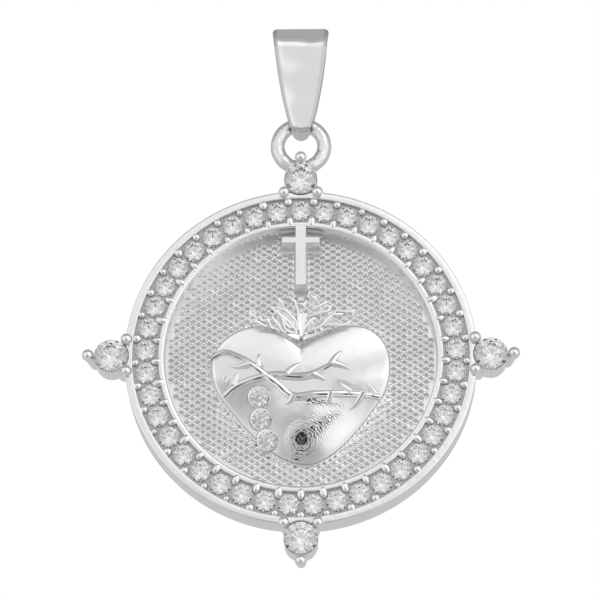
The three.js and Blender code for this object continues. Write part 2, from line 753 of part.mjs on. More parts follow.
piece('bail', toGeometry(bail()), metal, bailGroup);
piece('jump_ring', toGeometry(jumpRing()), metal, medallion);
piece('rim_frame', toGeometry(rimFrame()), metal, medallion);
piece('field_plate', fieldPlate(), satin, medallion);
piece('cross', toGeometry(cross()), metal, medallion);
piece('heart', toGeometry(heart()), metal, medallion);
piece('thorn_crown', toGeometry(thornCrown()), metal, medallion);
piece('flame', toGeometry(flame()), metal, medallion);

const colletGeometry = toGeometry(collet());
const cornerStoneGeometry = brilliantCut(cornerStoneDiameter);
['north', 'east', 'south', 'west'].forEach((side, i) => {
  const setting = new THREE.Group();
  setting.position.copy(onDial(cornerStoneRadius, cornerAngles[i], cornerGirdle));
  setting.rotation.y = cornerAngles[i];
  medallion.add(setting);
  piece(`collet_${side}`, colletGeometry, metal, setting);
  piece(`stone_${side}`, cornerStoneGeometry, zirconia, setting);
});

const channelStoneGeometry = singleCut(channelStoneDiameter);
stoneAngles.forEach((angle, i) => {
  const name = `channel_stone_${String(i + 1).padStart(2, '0')}`;
  const stone = piece(name, channelStoneGeometry, zirconia, medallion);
  stone.position.copy(onDial(channelRadius, angle, channelGirdle));
  stone.rotation.y = angle;
});

const heartStoneGeometry = singleCut(heartStoneDiameter);
heartStonePlaces.forEach((place, i) => {
  const stone = piece(`heart_stone_${i + 1}`, heartStoneGeometry, zirconia, medallion);
  stone.position.set(place.x, reliefY(place.x, place.y), place.y);
  stone.quaternion.setFromUnitVectors(new THREE.Vector3(0, -1, 0), reliefNormal(place.x, place.y));
});

export default pendant;
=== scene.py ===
# %% [markdown]
# # A sacred heart pendant in rhodium-plated silver
#
# The real piece is cast in a silver alloy, polished, plated with rhodium and set with cubic zirconia.
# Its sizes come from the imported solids, which stay where they are. Here each of them gets the surface
# that the eye sees: round edges, raised beads, cut stones, thorns, and the small unevenness of a casting.

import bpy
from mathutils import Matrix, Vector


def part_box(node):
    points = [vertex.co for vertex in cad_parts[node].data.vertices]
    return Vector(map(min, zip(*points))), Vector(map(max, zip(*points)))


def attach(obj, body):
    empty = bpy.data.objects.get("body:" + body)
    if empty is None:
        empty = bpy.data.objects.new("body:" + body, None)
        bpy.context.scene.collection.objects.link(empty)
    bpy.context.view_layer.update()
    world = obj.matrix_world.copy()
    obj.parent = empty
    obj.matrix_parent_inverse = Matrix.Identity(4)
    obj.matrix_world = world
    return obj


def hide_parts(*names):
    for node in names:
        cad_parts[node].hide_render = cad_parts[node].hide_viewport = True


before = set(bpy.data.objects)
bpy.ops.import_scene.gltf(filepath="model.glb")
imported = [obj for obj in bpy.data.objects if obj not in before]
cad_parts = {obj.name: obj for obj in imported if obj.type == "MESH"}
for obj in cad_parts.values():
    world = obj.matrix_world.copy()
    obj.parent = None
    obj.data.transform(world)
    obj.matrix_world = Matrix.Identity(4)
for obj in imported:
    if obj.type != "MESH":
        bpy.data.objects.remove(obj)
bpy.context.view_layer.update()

# %% [markdown]
# ## Working units
#
# A jeweller thinks in millimetres, so every shape below is worked out in millimetres from the middle of
# the medallion: X to the right, Y to the back, Z up. One factor turns them to metres at the very end, and
# one height, read from the field plate's box, puts them where the solids are. The photographer looks from
# 19 degrees below, and a few forms are judged from there.

import bpy
import numpy as np
from mathutils import Matrix, Vector

MM = 0.001
VIEW_AZIMUTH = np.radians(1.0)
VIEW_ELEVATION = np.radians(-19.0)
plate_low, plate_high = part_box("field_plate")
DISC_HEIGHT = (plate_low.z + plate_high.z) / 2 / MM
print("the medallion's middle lies at", round(DISC_HEIGHT, 3), "mm")

# %% [markdown]
# ## Surfaces as grids
#
# Nearly every surface here is a grid of points: one number runs along the piece, the other goes round it.
# A shape is a pair: its points, and blocks of faces that hold corner numbers. Shapes are kept as arrays
# and joined at the end, so there is no loop over single vertices.


# %% Grid, join and copy
def grid_faces(rows, columns, ring_rows=False, ring_columns=False):
    """Corner numbers of the four-sided faces of a grid whose points are stored row after row.

    The corner at row r and column c has the number r times columns plus c. A ring joins the last row or
    column to the first."""
    row, column = np.meshgrid(
        np.arange(rows if ring_rows else rows - 1),
        np.arange(columns if ring_columns else columns - 1),
        indexing="ij",
    )
    next_row, next_column = (row + 1) % rows, (column + 1) % columns
    corners = [
        row * columns + column,
        row * columns + next_column,
        next_row * columns + next_column,
        next_row * columns + column,
    ]
    return np.stack(corners, axis=-1).reshape(-1, 4)


def joined(shapes):
    """Several shapes as one: points one after another, with each face's numbers moved on."""
    starts = np.cumsum([0] + [len(points) for points, _ in shapes])
    blocks = [block + start for (_, faces), start in zip(shapes, starts) for block in faces]
    return np.concatenate([points for points, _ in shapes]), blocks


def copied(shape, places):
    """A copy of a shape at each place: every point plus every place, numbers moved on copy by copy."""
    points, blocks = shape
    count = len(points)
    moved = (places[:, None, :] + points[None, :, :]).reshape(-1, 3)
    step = np.arange(len(places))[:, None, None] * count
    return moved, [(block[None] + step).reshape(-1, block.shape[1]) for block in blocks]


def unit(vectors):
    """Vectors divided by their own length."""
    return vectors / np.linalg.norm(vectors, axis=-1, keepdims=True)


def smooth_step(low, high, value):
    """0 below low, 1 above high, and 3 t squared minus 2 t cubed between them."""
    t = np.clip((value - low) / (high - low), 0, 1)
    return t * t * (3 - 2 * t)


def rounded(corners, reach, steps=4):
    """A closed outline with soft corners.

    Each corner becomes a quadratic curve that starts and ends at the given reach from it."""
    corners = np.asarray(corners, float)
    reach = np.broadcast_to(reach, len(corners))[:, None, None]
    back = unit(np.roll(corners, 1, 0) - corners)[:, None]
    ahead = unit(np.roll(corners, -1, 0) - corners)[:, None]
    t = np.linspace(0, 1, steps + 1)[None, :, None]
    curve = corners[:, None] + reach * (back * (1 - t) ** 2 + ahead * t**2)
    return curve.reshape(-1, corners.shape[1])


def on_dial(radius, angle, y):
    """Points at a radius and an angle, clockwise from twelve o'clock, at a depth y."""
    radius, angle, y = np.broadcast_arrays(radius, angle, y)
    return np.stack([radius * np.sin(angle), y, radius * np.cos(angle)], axis=-1)


def turned(profile, count):
    """A closed profile of radius and depth, turned round the Y axis in count steps."""
    profile = np.asarray(profile, float)
    angle = np.arange(count)[:, None] * 2 * np.pi / count
    points = on_dial(profile[None, :, 0], angle, profile[None, :, 1])
    return points.reshape(-1, 3), [grid_faces(count, len(profile), True, True)]


def uneven(a, b, wavelength, seed, waves=14):
    """A smooth random field of about plus or minus one over two coordinates.

    It is a sum of plane sine waves whose direction, phase and length are drawn from a seed."""
    draw = np.random.default_rng(seed)
    turn = draw.uniform(0, 2 * np.pi, waves)
    phase = draw.uniform(0, 2 * np.pi, waves)
    number = 2 * np.pi / (wavelength * draw.uniform(0.7, 1.4, waves))
    a, b = np.asarray(a, float)[..., None], np.asarray(b, float)[..., None]
    total = np.sin((a * np.cos(turn) + b * np.sin(turn)) * number + phase).sum(-1)
    return total * np.sqrt(2 / waves)


print("a 3 by 4 grid has", len(grid_faces(3, 4)), "faces")

# %% [markdown]
# ## From arrays to pieces
#
# A mesh gets its points and faces at once. Seams and poles are closed by merging equal points, and the
# outward side is worked out by Blender. Edges sharper than a set angle stay crisp, and the rest shades
# smoothly, as polished metal does. The piece then stands for its solid and rides on its body.


# %% Make a piece
import bmesh

SEAM = 1e-7
made = []


def make_piece(name, shape, material, body, nodes, crisp=40, finish=None, marks=None):
    """A mesh object from a shape in millimetres, placed, closed, shaded and tied to its body.

    Marks are one number for each point, from 0 to 1, which a material can read as the attribute of that
    name. A finish is a function that gets the mesh after its seams are merged, before its faces are
    turned."""
    points, blocks = shape
    placed = (np.asarray(points, float) + (0, 0, DISC_HEIGHT)) * MM
    mesh = bpy.data.meshes.new(name)
    mesh.from_pydata(placed.tolist(), [], [face for block in blocks for face in block.tolist()])
    if marks is not None:
        layer = mesh.attributes.new("marks", "FLOAT", "POINT")
        layer.data.foreach_set("value", np.asarray(marks, np.float32))
    edit = bmesh.new()
    edit.from_mesh(mesh)
    bmesh.ops.remove_doubles(edit, verts=edit.verts, dist=SEAM)
    if finish:
        finish(edit)
    bmesh.ops.recalc_face_normals(edit, faces=edit.faces)
    edit.to_mesh(mesh)
    edit.free()
    mesh.shade_smooth()
    mesh.set_sharp_from_angle(angle=np.radians(crisp))
    mesh.materials.append(material)
    piece = bpy.data.objects.new(name, mesh)
    bpy.context.scene.collection.objects.link(piece)
    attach(piece, body)
    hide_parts(*nodes)
    made.append(piece)
    print(name, "has", len(mesh.polygons), "faces")
    return piece


# %% [markdown]
# ## Finishes
#
# Rhodium plate over polished silver is a bright, slightly cool white metal. Its colour is nearly even,
# but tumbling and plating leave faint clouds and fine scratches, so roughness and a very small bump vary
# with noise. The field behind the heart is left as cast and plated, so it is a little duller.


# %% Colour and node helpers
def linear(hex_colour):
    """An sRGB hex colour as linear light: c over 12.92 when dark, else ((c + 0.055) / 1.055) to the 2.4."""
    channels = [int(hex_colour[i : i + 2], 16) / 255 for i in (1, 3, 5)]
    light = [c / 12.92 if c <= 0.04045 else ((c + 0.055) / 1.055) ** 2.4 for c in channels]
    return (*light, 1.0)


def add_node(tree, kind, inputs, **settings):
    """Adds one node: settings are its properties, and an input is another node's output or a value."""
    node = tree.nodes.new(kind)
    for key, value in settings.items():
        setattr(node, key, value)
    for key, value in inputs.items():
        if isinstance(value, bpy.types.NodeSocket):
            tree.links.new(value, node.inputs[key])
        else:
            node.inputs[key].default_value = value
    return node


def per_mm(size):
    """The scale of a texture whose features are a given number of millimetres across."""
    return 1 / (size * MM)


RECESS_ROUGHNESS = 0.5


def rhodium_plate(name, bright, dull, smoothest, roughest, wave, depth, painted_shade=None):
    """Polished or cast rhodium plate.

    Colour runs between bright and dull in clouds of 2.5 mm, roughness between its two ends in clouds of
    0.9 mm, and a bump of the given wave and depth in millimetres makes the surface slightly uneven.
    Where the mesh is marked, a darker colour is mixed in as painted shade, and the polish is lost there."""
    material = bpy.data.materials.new(name)
    material.use_nodes = True
    tree = material.node_tree
    shader = tree.nodes["Principled BSDF"]
    shader.inputs["Metallic"].default_value = 1
    place = add_node(tree, "ShaderNodeTexCoord", {}).outputs["Object"]
    clouds = add_node(tree, "ShaderNodeTexNoise", {"Scale": per_mm(2.5), "Detail": 2, "Vector": place})
    colour = add_node(
        tree, "ShaderNodeMix",
        {"A": linear(bright), "B": linear(dull), "Factor": clouds.outputs["Fac"]}, data_type="RGBA",
    ).outputs["Result"]
    # Marked places get a darker colour: painted shade.
    if painted_shade:
        low = add_node(tree, "ShaderNodeAttribute", {}, attribute_name="marks")
        colour = add_node(
            tree, "ShaderNodeMix",
            {"A": colour, "B": linear(painted_shade), "Factor": low.outputs["Fac"]}, data_type="RGBA",
        ).outputs["Result"]
    tree.links.new(colour, shader.inputs["Base Color"])
    wear = add_node(tree, "ShaderNodeTexNoise", {"Scale": per_mm(0.9), "Detail": 4, "Vector": place})
    rough = add_node(tree, "ShaderNodeMapRange", {
        "Value": wear.outputs["Fac"], "From Min": 0.3, "From Max": 0.7,
        "To Min": smoothest, "To Max": roughest,
    }).outputs["Result"]
    if painted_shade:
        rough = add_node(tree, "ShaderNodeMix", {
            "Factor": low.outputs["Fac"], "A": rough, "B": RECESS_ROUGHNESS,
        }).outputs["Result"]
    tree.links.new(rough, shader.inputs["Roughness"])
    ripple = add_node(tree, "ShaderNodeTexNoise", {"Scale": per_mm(wave), "Detail": 2, "Vector": place})
    bump = add_node(
        tree, "ShaderNodeBump",
        {"Strength": 1.0, "Distance": depth * MM, "Height": ripple.outputs["Fac"]},
    )
    tree.links.new(bump.outputs["Normal"], shader.inputs["Normal"])
    return material


# %% The metal finishes
polished = rhodium_plate("rhodium_polished", "#F6F6F7", "#EFEFF1", 0.05, 0.11, 0.5, 0.0012)
# In the channel and on the inner wall, the darker marked colour is painted shade, and the higher roughness is
# lost polish.
rim_plate = rhodium_plate(
    "rhodium_bead_set_with_painted_shade", "#F6F6F7", "#EBEBED", 0.08, 0.18, 0.42, 0.016, painted_shade="#C2C2C5"
)
# In the vines' crevices the dark marked colour is painted shade, and the higher roughness is lost polish.
crevice_shaded = rhodium_plate(
    "rhodium_with_painted_crevice_shade", "#F6F6F7", "#EDEDEF", 0.07, 0.14, 0.4, 0.002, painted_shade="#77777A"
)
# On the bail's filed edges and brushed foot, the greyer marked colour is painted shade, and the higher
# roughness is the filing and brushing.
filed_and_shaded_edges = rhodium_plate(
    "rhodium_with_filed_and_shaded_edges", "#F6F6F7", "#EFEFF1", 0.05, 0.11, 0.5, 0.0012, painted_shade="#C4C4C8"
)
satin = rhodium_plate("rhodium_satin", "#F4F4F5", "#E9E9EB", 0.26, 0.38, 0.4, 0.002)
hammered = rhodium_plate("rhodium_hammered_wire", "#F0F0F1", "#DDDDE0", 0.16, 0.3, 0.24, 0.03)
cast_field = rhodium_plate("rhodium_as_cast", "#F5F5F6", "#ECECEE", 0.13, 0.22, 0.3, 0.002)
print("finishes:", polished.name, rim_plate.name, crevice_shaded.name, satin.name, hammered.name, cast_field.name)

# %% [markdown]
# Cubic zirconia is a clear crystal with a high refractive index, about 2.15. Its sparkle comes from flat
# facets that throw light back through the table, so the stones below have all their facets, and the
# material only has to be clear, with a faint trace of handling on the facets.


# %% The stones' material
def cubic_zirconia():
    """A clear refracting solid: index 2.15, hardly any roughness, colourless with a trace of grey."""
    material = bpy.data.materials.new("cubic_zirconia_faceted")
    material.use_nodes = True
    tree = material.node_tree
    shader = tree.nodes["Principled BSDF"]
    shader.inputs["IOR"].default_value = 2.15
    shader.inputs["Transmission Weight"].default_value = 1
    shader.inputs["Roughness"].default_value = 0.0
    place = add_node(tree, "ShaderNodeTexCoord", {}).outputs["Object"]
    tint = add_node(tree, "ShaderNodeTexNoise", {"Scale": per_mm(0.6), "Vector": place})
    colour = add_node(
        tree, "ShaderNodeMix",
        {"A": linear("#FFFFFF"), "B": linear("#F4F6F8"), "Factor": tint.outputs["Fac"]},
        data_type="RGBA",
    )
    tree.links.new(colour.outputs["Result"], shader.inputs["Base Color"])
    return material


zirconia = cubic_zirconia()

# %% [markdown]
# ## The rim
#
# The rim is one casting: an outer wall, a channel and an inner wall. It could be turned as a plain ring
# and drilled with booleans, but here each of the 41 sectors is a patch that runs from its stone's round
# hole out to the sector's four sides, so every edge is clean and the holes stay open to the back. The
# four corner cups bite into the outer wall, which is just a radius that depends on the angle.

# %% Sizes of the rim
RIM_RADIUS = 12.3
OUTER_WALL = 0.55
INNER_WALL = 0.45
CHANNEL_DEPTH = 0.5
CHANNEL_MARGIN = 0.15
STONE_COUNT = 41
STONE_SPACE = 0.16
STONE_SINK = 0.2
SOLDER_GAP = 0.02
SETTING_GAP = 0.03
BACK = plate_high.y / MM
FRONT = -BACK
HALF_SECTOR = np.pi / STONE_COUNT
CHANNEL_OUTER = RIM_RADIUS - OUTER_WALL
CHANNEL_RADIUS = (CHANNEL_OUTER - CHANNEL_MARGIN + STONE_SPACE / 2) / (1 + np.sin(HALF_SECTOR))
STONE_DIAMETER = 2 * CHANNEL_RADIUS * np.sin(HALF_SECTOR) - STONE_SPACE
CHANNEL_INNER = CHANNEL_RADIUS - STONE_DIAMETER / 2 - CHANNEL_MARGIN
FIELD_RADIUS = CHANNEL_INNER - INNER_WALL
CHANNEL_FLOOR = FRONT + CHANNEL_DEPTH
CHANNEL_GIRDLE = FRONT + STONE_SINK
CORNER_STONE = 2.3
CORNER_GIRDLE = FRONT - 0.05
CUP_RADIUS = CORNER_STONE / 2 + 0.05
CORNER_RADIUS = RIM_RADIUS + CUP_RADIUS - 0.25
PLATE_FRONT = plate_low.y / MM
RELIEF_BACK = PLATE_FRONT - SOLDER_GAP
STONE_ANGLES = np.arange(STONE_COUNT) * 2 * HALF_SECTOR
CORNER_ANGLES = np.arange(4) * np.pi / 2
print("channel stones are", round(STONE_DIAMETER, 3), "mm across")


# %% The rim's surfaces
ARC_STEPS = 12
SIDE_STEPS = 4


def outer_radius(angle):
    """The rim's outer radius at an angle: its own, or the near side of a corner cup's circle.

    A ray at an angle a from a cup's middle meets its circle at R cos a minus the root of c squared minus
    R squared sin squared a, where R is the cup's distance and c its radius."""
    cup = CUP_RADIUS + SOLDER_GAP
    away = (angle + np.pi / 4) % (np.pi / 2) - np.pi / 4
    under = cup**2 - (CORNER_RADIUS * np.sin(away)) ** 2
    near = CORNER_RADIUS * np.cos(away) - np.sqrt(np.maximum(under, 0))
    return np.where(under > 0, np.minimum(RIM_RADIUS, near), RIM_RADIUS)


def wall_strip(profile, edge, limit):
    """A profile of radius and depth carried round the medallion.

    Radii beyond the channel's edge are stretched so that the profile's rim radius follows the limit."""
    angle = np.arange(STONE_COUNT * ARC_STEPS)[:, None] * 2 * np.pi / (STONE_COUNT * ARC_STEPS)
    widest = profile[np.argmax(np.abs(profile[:, 0] - edge)), 0]
    share = (profile[None, :, 0] - edge) / (widest - edge)
    radius = edge + share * (limit(angle) - edge)
    points = on_dial(radius, angle, profile[None, :, 1])
    faces = grid_faces(len(angle), len(profile), ring_rows=True)
    return points.reshape(-1, 3), [faces]


def sector_border():
    """Radius and angle of the points round one sector, counted so that neighbours share them."""
    arc = np.linspace(-HALF_SECTOR, HALF_SECTOR, ARC_STEPS + 1)
    side = np.linspace(CHANNEL_OUTER, CHANNEL_INNER, SIDE_STEPS + 1)
    radius = [np.full(ARC_STEPS, CHANNEL_OUTER), side[:-1], np.full(ARC_STEPS, CHANNEL_INNER), side[:0:-1]]
    angle = [arc[:-1], np.full(SIDE_STEPS, HALF_SECTOR), arc[:0:-1], np.full(SIDE_STEPS, -HALF_SECTOR)]
    return np.concatenate(radius), np.concatenate(angle)


def holed_floor():
    """The channel's floor and the back with the seat holes between them.

    In each sector, rows run from the border to the stone's girdle, down its cone, through the hole and
    out again behind. The floor lies just under the girdles, where a setter cuts the seats."""
    radius, angle = sector_border()
    border = on_dial(radius, angle, 0.0)
    centre = np.array([0, 0, CHANNEL_RADIUS])
    ahead = unit(border - centre)
    mouth = centre + STONE_DIAMETER / 2 * ahead
    hole = centre + STONE_DIAMETER * 0.3 * ahead
    lip = hole + (border - hole) * 0.12
    seat = CHANNEL_GIRDLE + 0.05
    depths = [seat, seat, seat + STONE_DIAMETER * 0.18, BACK - 0.05, BACK, BACK]
    rows = [border, mouth, hole, hole, lip, border]
    points = np.stack([row + (0, depth, 0) for row, depth in zip(rows, depths)])
    cosine, sine = np.cos(STONE_ANGLES)[:, None, None], np.sin(STONE_ANGLES)[:, None, None]
    x = points[None, :, :, 0] * cosine + points[None, :, :, 2] * sine
    z = points[None, :, :, 2] * cosine - points[None, :, :, 0] * sine
    y = np.broadcast_to(points[None, :, :, 1], x.shape)
    turned_points = np.stack([x, y, z], axis=-1)
    faces = grid_faces(len(rows), len(border), ring_columns=True)
    step = np.arange(STONE_COUNT)[:, None, None] * len(rows) * len(border)
    return turned_points.reshape(-1, 3), [(faces[None] + step).reshape(-1, 4)]


def open_profile(corners, reach):
    """An open line with soft inner corners: the closed outline's curve without its two end corners."""
    steps = 4
    curve = rounded(corners, reach, steps)
    inner = curve[steps + 1 : -(steps + 1)]
    return np.vstack([corners[0], inner, corners[-1]])


outer_profile = open_profile(
    np.array([
        [CHANNEL_OUTER, CHANNEL_FLOOR], [CHANNEL_OUTER, FRONT], [RIM_RADIUS, FRONT],
        [RIM_RADIUS, BACK], [CHANNEL_OUTER, BACK],
    ]),
    [0.01, 0.06, 0.13, 0.13, 0.01],
)
inner_profile = open_profile(
    np.array([
        [CHANNEL_INNER, CHANNEL_FLOOR], [CHANNEL_INNER, FRONT], [FIELD_RADIUS, FRONT],
        [FIELD_RADIUS, BACK], [CHANNEL_INNER, BACK],
    ]),
    [0.01, 0.07, 0.2, 0.04, 0.01],
)

# %% [markdown]
# The beads are raised with a graver and pressed over the stones with a beading tool, so no two are quite
# alike. Each is a small column with a domed top that leans on its wall. A fixed seed varies their size and
# place a little. The inner ones run into the inner wall as short bridges.

# %% The beads that hold the channel stones
BEAD_RADIUS = 0.29
BEAD_RISE = 0.07


def bead_row(radius, along, across, seed):
    """Domed columns between the stones: along is the radial half width and across the other one.

    A column's top is an ellipsoid: depth grows with one minus the root of one minus share squared."""
    draw = np.random.default_rng(seed)
    share = np.array([0, 0.3, 0.55, 0.76, 0.92, 1.0, 1.0])
    fall = np.append((1 - np.sqrt(1 - share[:-1] ** 2)) * 0.2, CHANNEL_FLOOR - FRONT + BEAD_RISE)
    turn = np.arange(14) * 2 * np.pi / 14
    bead_angle = STONE_ANGLES + HALF_SECTOR + draw.normal(0, 0.0016, STONE_COUNT)
    size = 1 + draw.normal(0, 0.09, STONE_COUNT)[:, None, None]
    sideways = across * size * share[None, :, None] * np.sin(turn)
    outward = radius + along * size * share[None, :, None] * np.cos(turn)
    height = FRONT - BEAD_RISE + fall[None, :, None] + 0 * sideways
    cosine, sine = np.cos(bead_angle)[:, None, None], np.sin(bead_angle)[:, None, None]
    points = np.stack(
        [sideways * cosine + outward * sine, height, outward * cosine - sideways * sine], axis=-1
    )
    faces = grid_faces(len(share), len(turn), ring_columns=True)
    cap = (np.arange(len(turn)) + (len(share) - 1) * len(turn))[None]
    step = np.arange(STONE_COUNT)[:, None, None] * len(share) * len(turn)
    blocks = [(block[None] + step).reshape(-1, block.shape[1]) for block in (faces, cap)]
    return points.reshape(-1, 3), blocks


# %% [markdown]
# Polishing never reaches the channel, so its floor and walls stay rough between the stones, and so, less,
# does the inner wall's side toward the field. Painted shade darkens the same places by the same share.
# Every point gets a mark from its place: 1 deep inside the channel, 0 at the front, and a share of it on the
# inner wall.

# %% The rim with its dull places
WALL_SHADE_AND_DULLNESS = 0.45
outer_beads = bead_row(CHANNEL_OUTER - BEAD_RADIUS + 0.1, BEAD_RADIUS * 1.05, BEAD_RADIUS, seed=3)
inner_beads = bead_row(CHANNEL_INNER + BEAD_RADIUS - 0.18, BEAD_RADIUS * 1.5, BEAD_RADIUS * 0.95, seed=4)
rim_shape = joined([
    wall_strip(outer_profile, CHANNEL_OUTER, outer_radius),
    wall_strip(inner_profile, CHANNEL_INNER, lambda angle: np.full_like(angle, FIELD_RADIUS)),
    holed_floor(), outer_beads, inner_beads,
])


def shade_and_dullness(points):
    """Painted shade and lost polish of the rim at each point, from its distance to the middle and its depth.
    """
    reach = np.hypot(points[:, 0], points[:, 2])
    in_channel = (reach > CHANNEL_INNER - 0.01) & (reach < CHANNEL_OUTER + 0.01) & (points[:, 1] < 0)
    on_wall = (reach < FIELD_RADIUS + 0.01) & (points[:, 1] > FRONT + 0.12)
    return smooth_step(FRONT + 0.06, FRONT + 0.22, points[:, 1]) * in_channel + WALL_SHADE_AND_DULLNESS * on_wall


rim_marks = shade_and_dullness(rim_shape[0])
make_piece(
    "bead_set_rim", rim_shape, rim_plate, "medallion", ["rim_frame"], marks=rim_marks
)
print("dull points of the rim:", int((rim_marks > 0).sum()))

# %% [markdown]
# ## Cut stones
#
# A round brilliant has a table, eight stars, eight kites, sixteen upper halves, a thin girdle, sixteen
# lower halves and eight pavilion mains. All its corners follow from a few shares of the diameter. Two of
# them are worked out so that the kites and the mains are flat, which is what makes the facets flash.

# %% Brilliant cut
TABLE_SHARE = 0.57
CROWN_SHARE = 0.16
PAVILION_SHARE = 0.43
GIRDLE_SHARE = 0.03
STAR_REACH = 0.39
HALF_REACH = 0.11


def brilliant(diameter):
    """All facets of a round brilliant with its girdle at the origin and its table toward -Y.

    A kite's plane runs from the table's corner to the girdle, so a star's tip at an eighth of a turn to
    the side lies at crown times (1/2 - reach cos 22.5) / (1/2 - table / 2). A main's plane runs from the
    culet to the girdle, so a lower half's tip lies at depth times (1 - 2 reach cos 22.5)."""
    eighth = np.arange(8) * np.pi / 4
    sixteenth = np.arange(16) * np.pi / 8
    off = np.pi / 8
    girdle = GIRDLE_SHARE / 2
    star_rise = CROWN_SHARE * (0.5 - STAR_REACH * np.cos(off)) / (0.5 - TABLE_SHARE / 2)
    half_depth = PAVILION_SHARE * (1 - 2 * HALF_REACH * np.cos(off))
    rings = [
        on_dial(TABLE_SHARE / 2, eighth + off, -girdle - CROWN_SHARE),
        on_dial(STAR_REACH, eighth, -girdle - star_rise),
        on_dial(0.5, sixteenth, -girdle),
        on_dial(0.5, sixteenth, girdle),
        on_dial(HALF_REACH, eighth, girdle + half_depth),
        np.array([[0, girdle + PAVILION_SHARE, 0]]),
    ]
    table, star, upper, lower, half, culet = np.cumsum([0, 8, 8, 16, 16, 8])
    k = np.arange(8)
    n = (k + 1) % 8
    edge = np.arange(16)
    after = (edge + 1) % 16
    threes = np.concatenate([
        np.stack([table + k, star + n, table + n], 1),
        np.stack([star + k, upper + 2 * k, upper + 2 * k + 1], 1),
        np.stack([star + n, upper + 2 * k + 1, upper + (2 * k + 2) % 16], 1),
        np.stack([half + k, lower + 2 * k + 1, lower + 2 * k], 1),
        np.stack([half + n, lower + (2 * k + 2) % 16, lower + 2 * k + 1], 1),
    ])
    fours = np.concatenate([
        np.stack([table + k, star + k, upper + 2 * k + 1, star + n], 1),
        np.stack([upper + edge, lower + edge, lower + after, upper + after], 1),
        np.stack([half + k, np.full(8, culet), half + n, lower + 2 * k + 1], 1),
    ])
    return np.concatenate(rings) * diameter, [threes, fours, (table + np.arange(8))[None]]


def set_stone(name, shape, turn, place, node):
    """A stone turned by a 3 by 3 matrix, moved to its place and given its crystal."""
    points, blocks = shape
    stone = (points @ np.asarray(turn).T + place, blocks)
    return make_piece(name, stone, zirconia, "medallion", [node], crisp=1)


def dial_turn(angle):
    """The rotation that takes twelve o'clock to an angle on the dial."""
    return np.array([[np.cos(angle), 0, np.sin(angle)], [0, 1, 0], [-np.sin(angle), 0, np.cos(angle)]])


# %% The channel stones
channel_cut = brilliant(STONE_DIAMETER)
stone_draw = np.random.default_rng(11)
for number, angle in enumerate(STONE_ANGLES, start=1):
    set_stone(
        f"channel_brilliant_{number:02d}", channel_cut, dial_turn(angle + stone_draw.uniform(0, 0.78)),
        on_dial(CHANNEL_RADIUS, angle, CHANNEL_GIRDLE), f"channel_stone_{number:02d}",
    )

# %% [markdown]
# ## Corner settings
#
# Each of the four larger stones sits in a turned cup with three prongs. A prong is a round leg that
# leans inward toward the back and ends in a ball, so cup and prongs are turned profiles. One setting is
# worked out at twelve o'clock and turned to the other three places.

# %% Cup and prongs
PRONG_BALL = 0.42
PRONG_LEG = 0.34
PRONG_LEAN = 0.4
PRONG_LIFT = 0.08
PRONG_SPREAD = np.radians(133)
PRONG_REACH = CORNER_STONE / 2 + SETTING_GAP + PRONG_BALL
CUP_HOLE = 0.5
CUP_LIP = 0.08


def cup():
    """The cup: a straight wall with a round foot, a conical seat and an open hole, all turned."""
    depth = BACK - CORNER_GIRDLE
    seat = CORNER_STONE / 2 + SETTING_GAP
    outline = [
        [CUP_HOLE, depth], [CUP_RADIUS - 0.04, depth], [CUP_RADIUS, CUP_LIP],
        [seat - 0.02, CUP_LIP], [CUP_HOLE, CUP_LIP + 0.55],
    ]
    return turned(rounded(outline, [0.04, 0.3, 0.03, 0.02, 0.05], 5), 64)


def prong(angle):
    """A leg and its ball: a half circle, a soft neck and a straight leg, turned round a leaning axis."""
    length = BACK - CORNER_GIRDLE + PRONG_LIFT
    lean = np.arctan2(PRONG_LEAN, length)
    turn = np.linspace(0, 0.72 * np.pi, 12)
    ball = np.stack([PRONG_BALL * np.sin(turn), -PRONG_BALL * np.cos(turn)], 1)
    end = length / np.cos(lean)
    leg = [[PRONG_LEG * 0.96, 0.42], [PRONG_LEG, 0.6], [PRONG_LEG, end - 0.06], [PRONG_LEG - 0.06, end]]
    profile = np.vstack([ball, leg, [[0, end]]])
    points, blocks = turned(profile, 28)
    lean_turn = np.array(Matrix.Rotation(-lean, 3, "X"))
    points = points @ lean_turn.T + (0, -PRONG_LIFT, PRONG_REACH)
    return points @ dial_turn(angle).T, blocks


corner_cut = brilliant(CORNER_STONE)
setting = joined([cup(), prong(0), prong(PRONG_SPREAD), prong(-PRONG_SPREAD)])
for side, angle in zip(["north", "east", "south", "west"], CORNER_ANGLES):
    place = on_dial(CORNER_RADIUS, angle, CORNER_GIRDLE)
    points, blocks = setting
    make_piece(
        f"setting_{side}", (points @ dial_turn(angle).T + place, blocks), polished,
        "medallion", [f"collet_{side}"],
    )
    set_stone(f"brilliant_{side}", corner_cut, dial_turn(angle), place, f"stone_{side}")

# %% [markdown]
# ## Jump ring
#
# The ring is round wire bent to a circle and soldered to the north setting. A perfect torus would look
# like plastic, so the wire's radius varies by a few hundredths, as after hammering and filing.

# %% Jump ring
WIRE_RADIUS = 0.52
RING_RADIUS = 1.67
RING_CENTRE = CORNER_RADIUS + CUP_RADIUS + 0.03 + RING_RADIUS


def ring_wire():
    """A torus whose wire radius is its own size plus a smooth random field over both angles."""
    round_ring = np.arange(160)[:, None] * 2 * np.pi / 160
    round_wire = np.arange(40)[None, :] * 2 * np.pi / 40
    along = RING_RADIUS * round_ring + 0 * round_wire
    about = WIRE_RADIUS * np.sin(round_wire) + 0 * round_ring
    fade = np.sin(round_ring / 2) ** 2
    wire = WIRE_RADIUS - 0.012 + 0.011 * uneven(along, about, 1.1, seed=21) * fade
    reach = RING_RADIUS + wire * np.cos(round_wire)
    points = on_dial(reach, round_ring, wire * np.sin(round_wire)) + (0, 0, RING_CENTRE)
    return points.reshape(-1, 3), [grid_faces(160, 40, True, True)]


make_piece("ring_wire", ring_wire(), hammered, "medallion", ["jump_ring"])
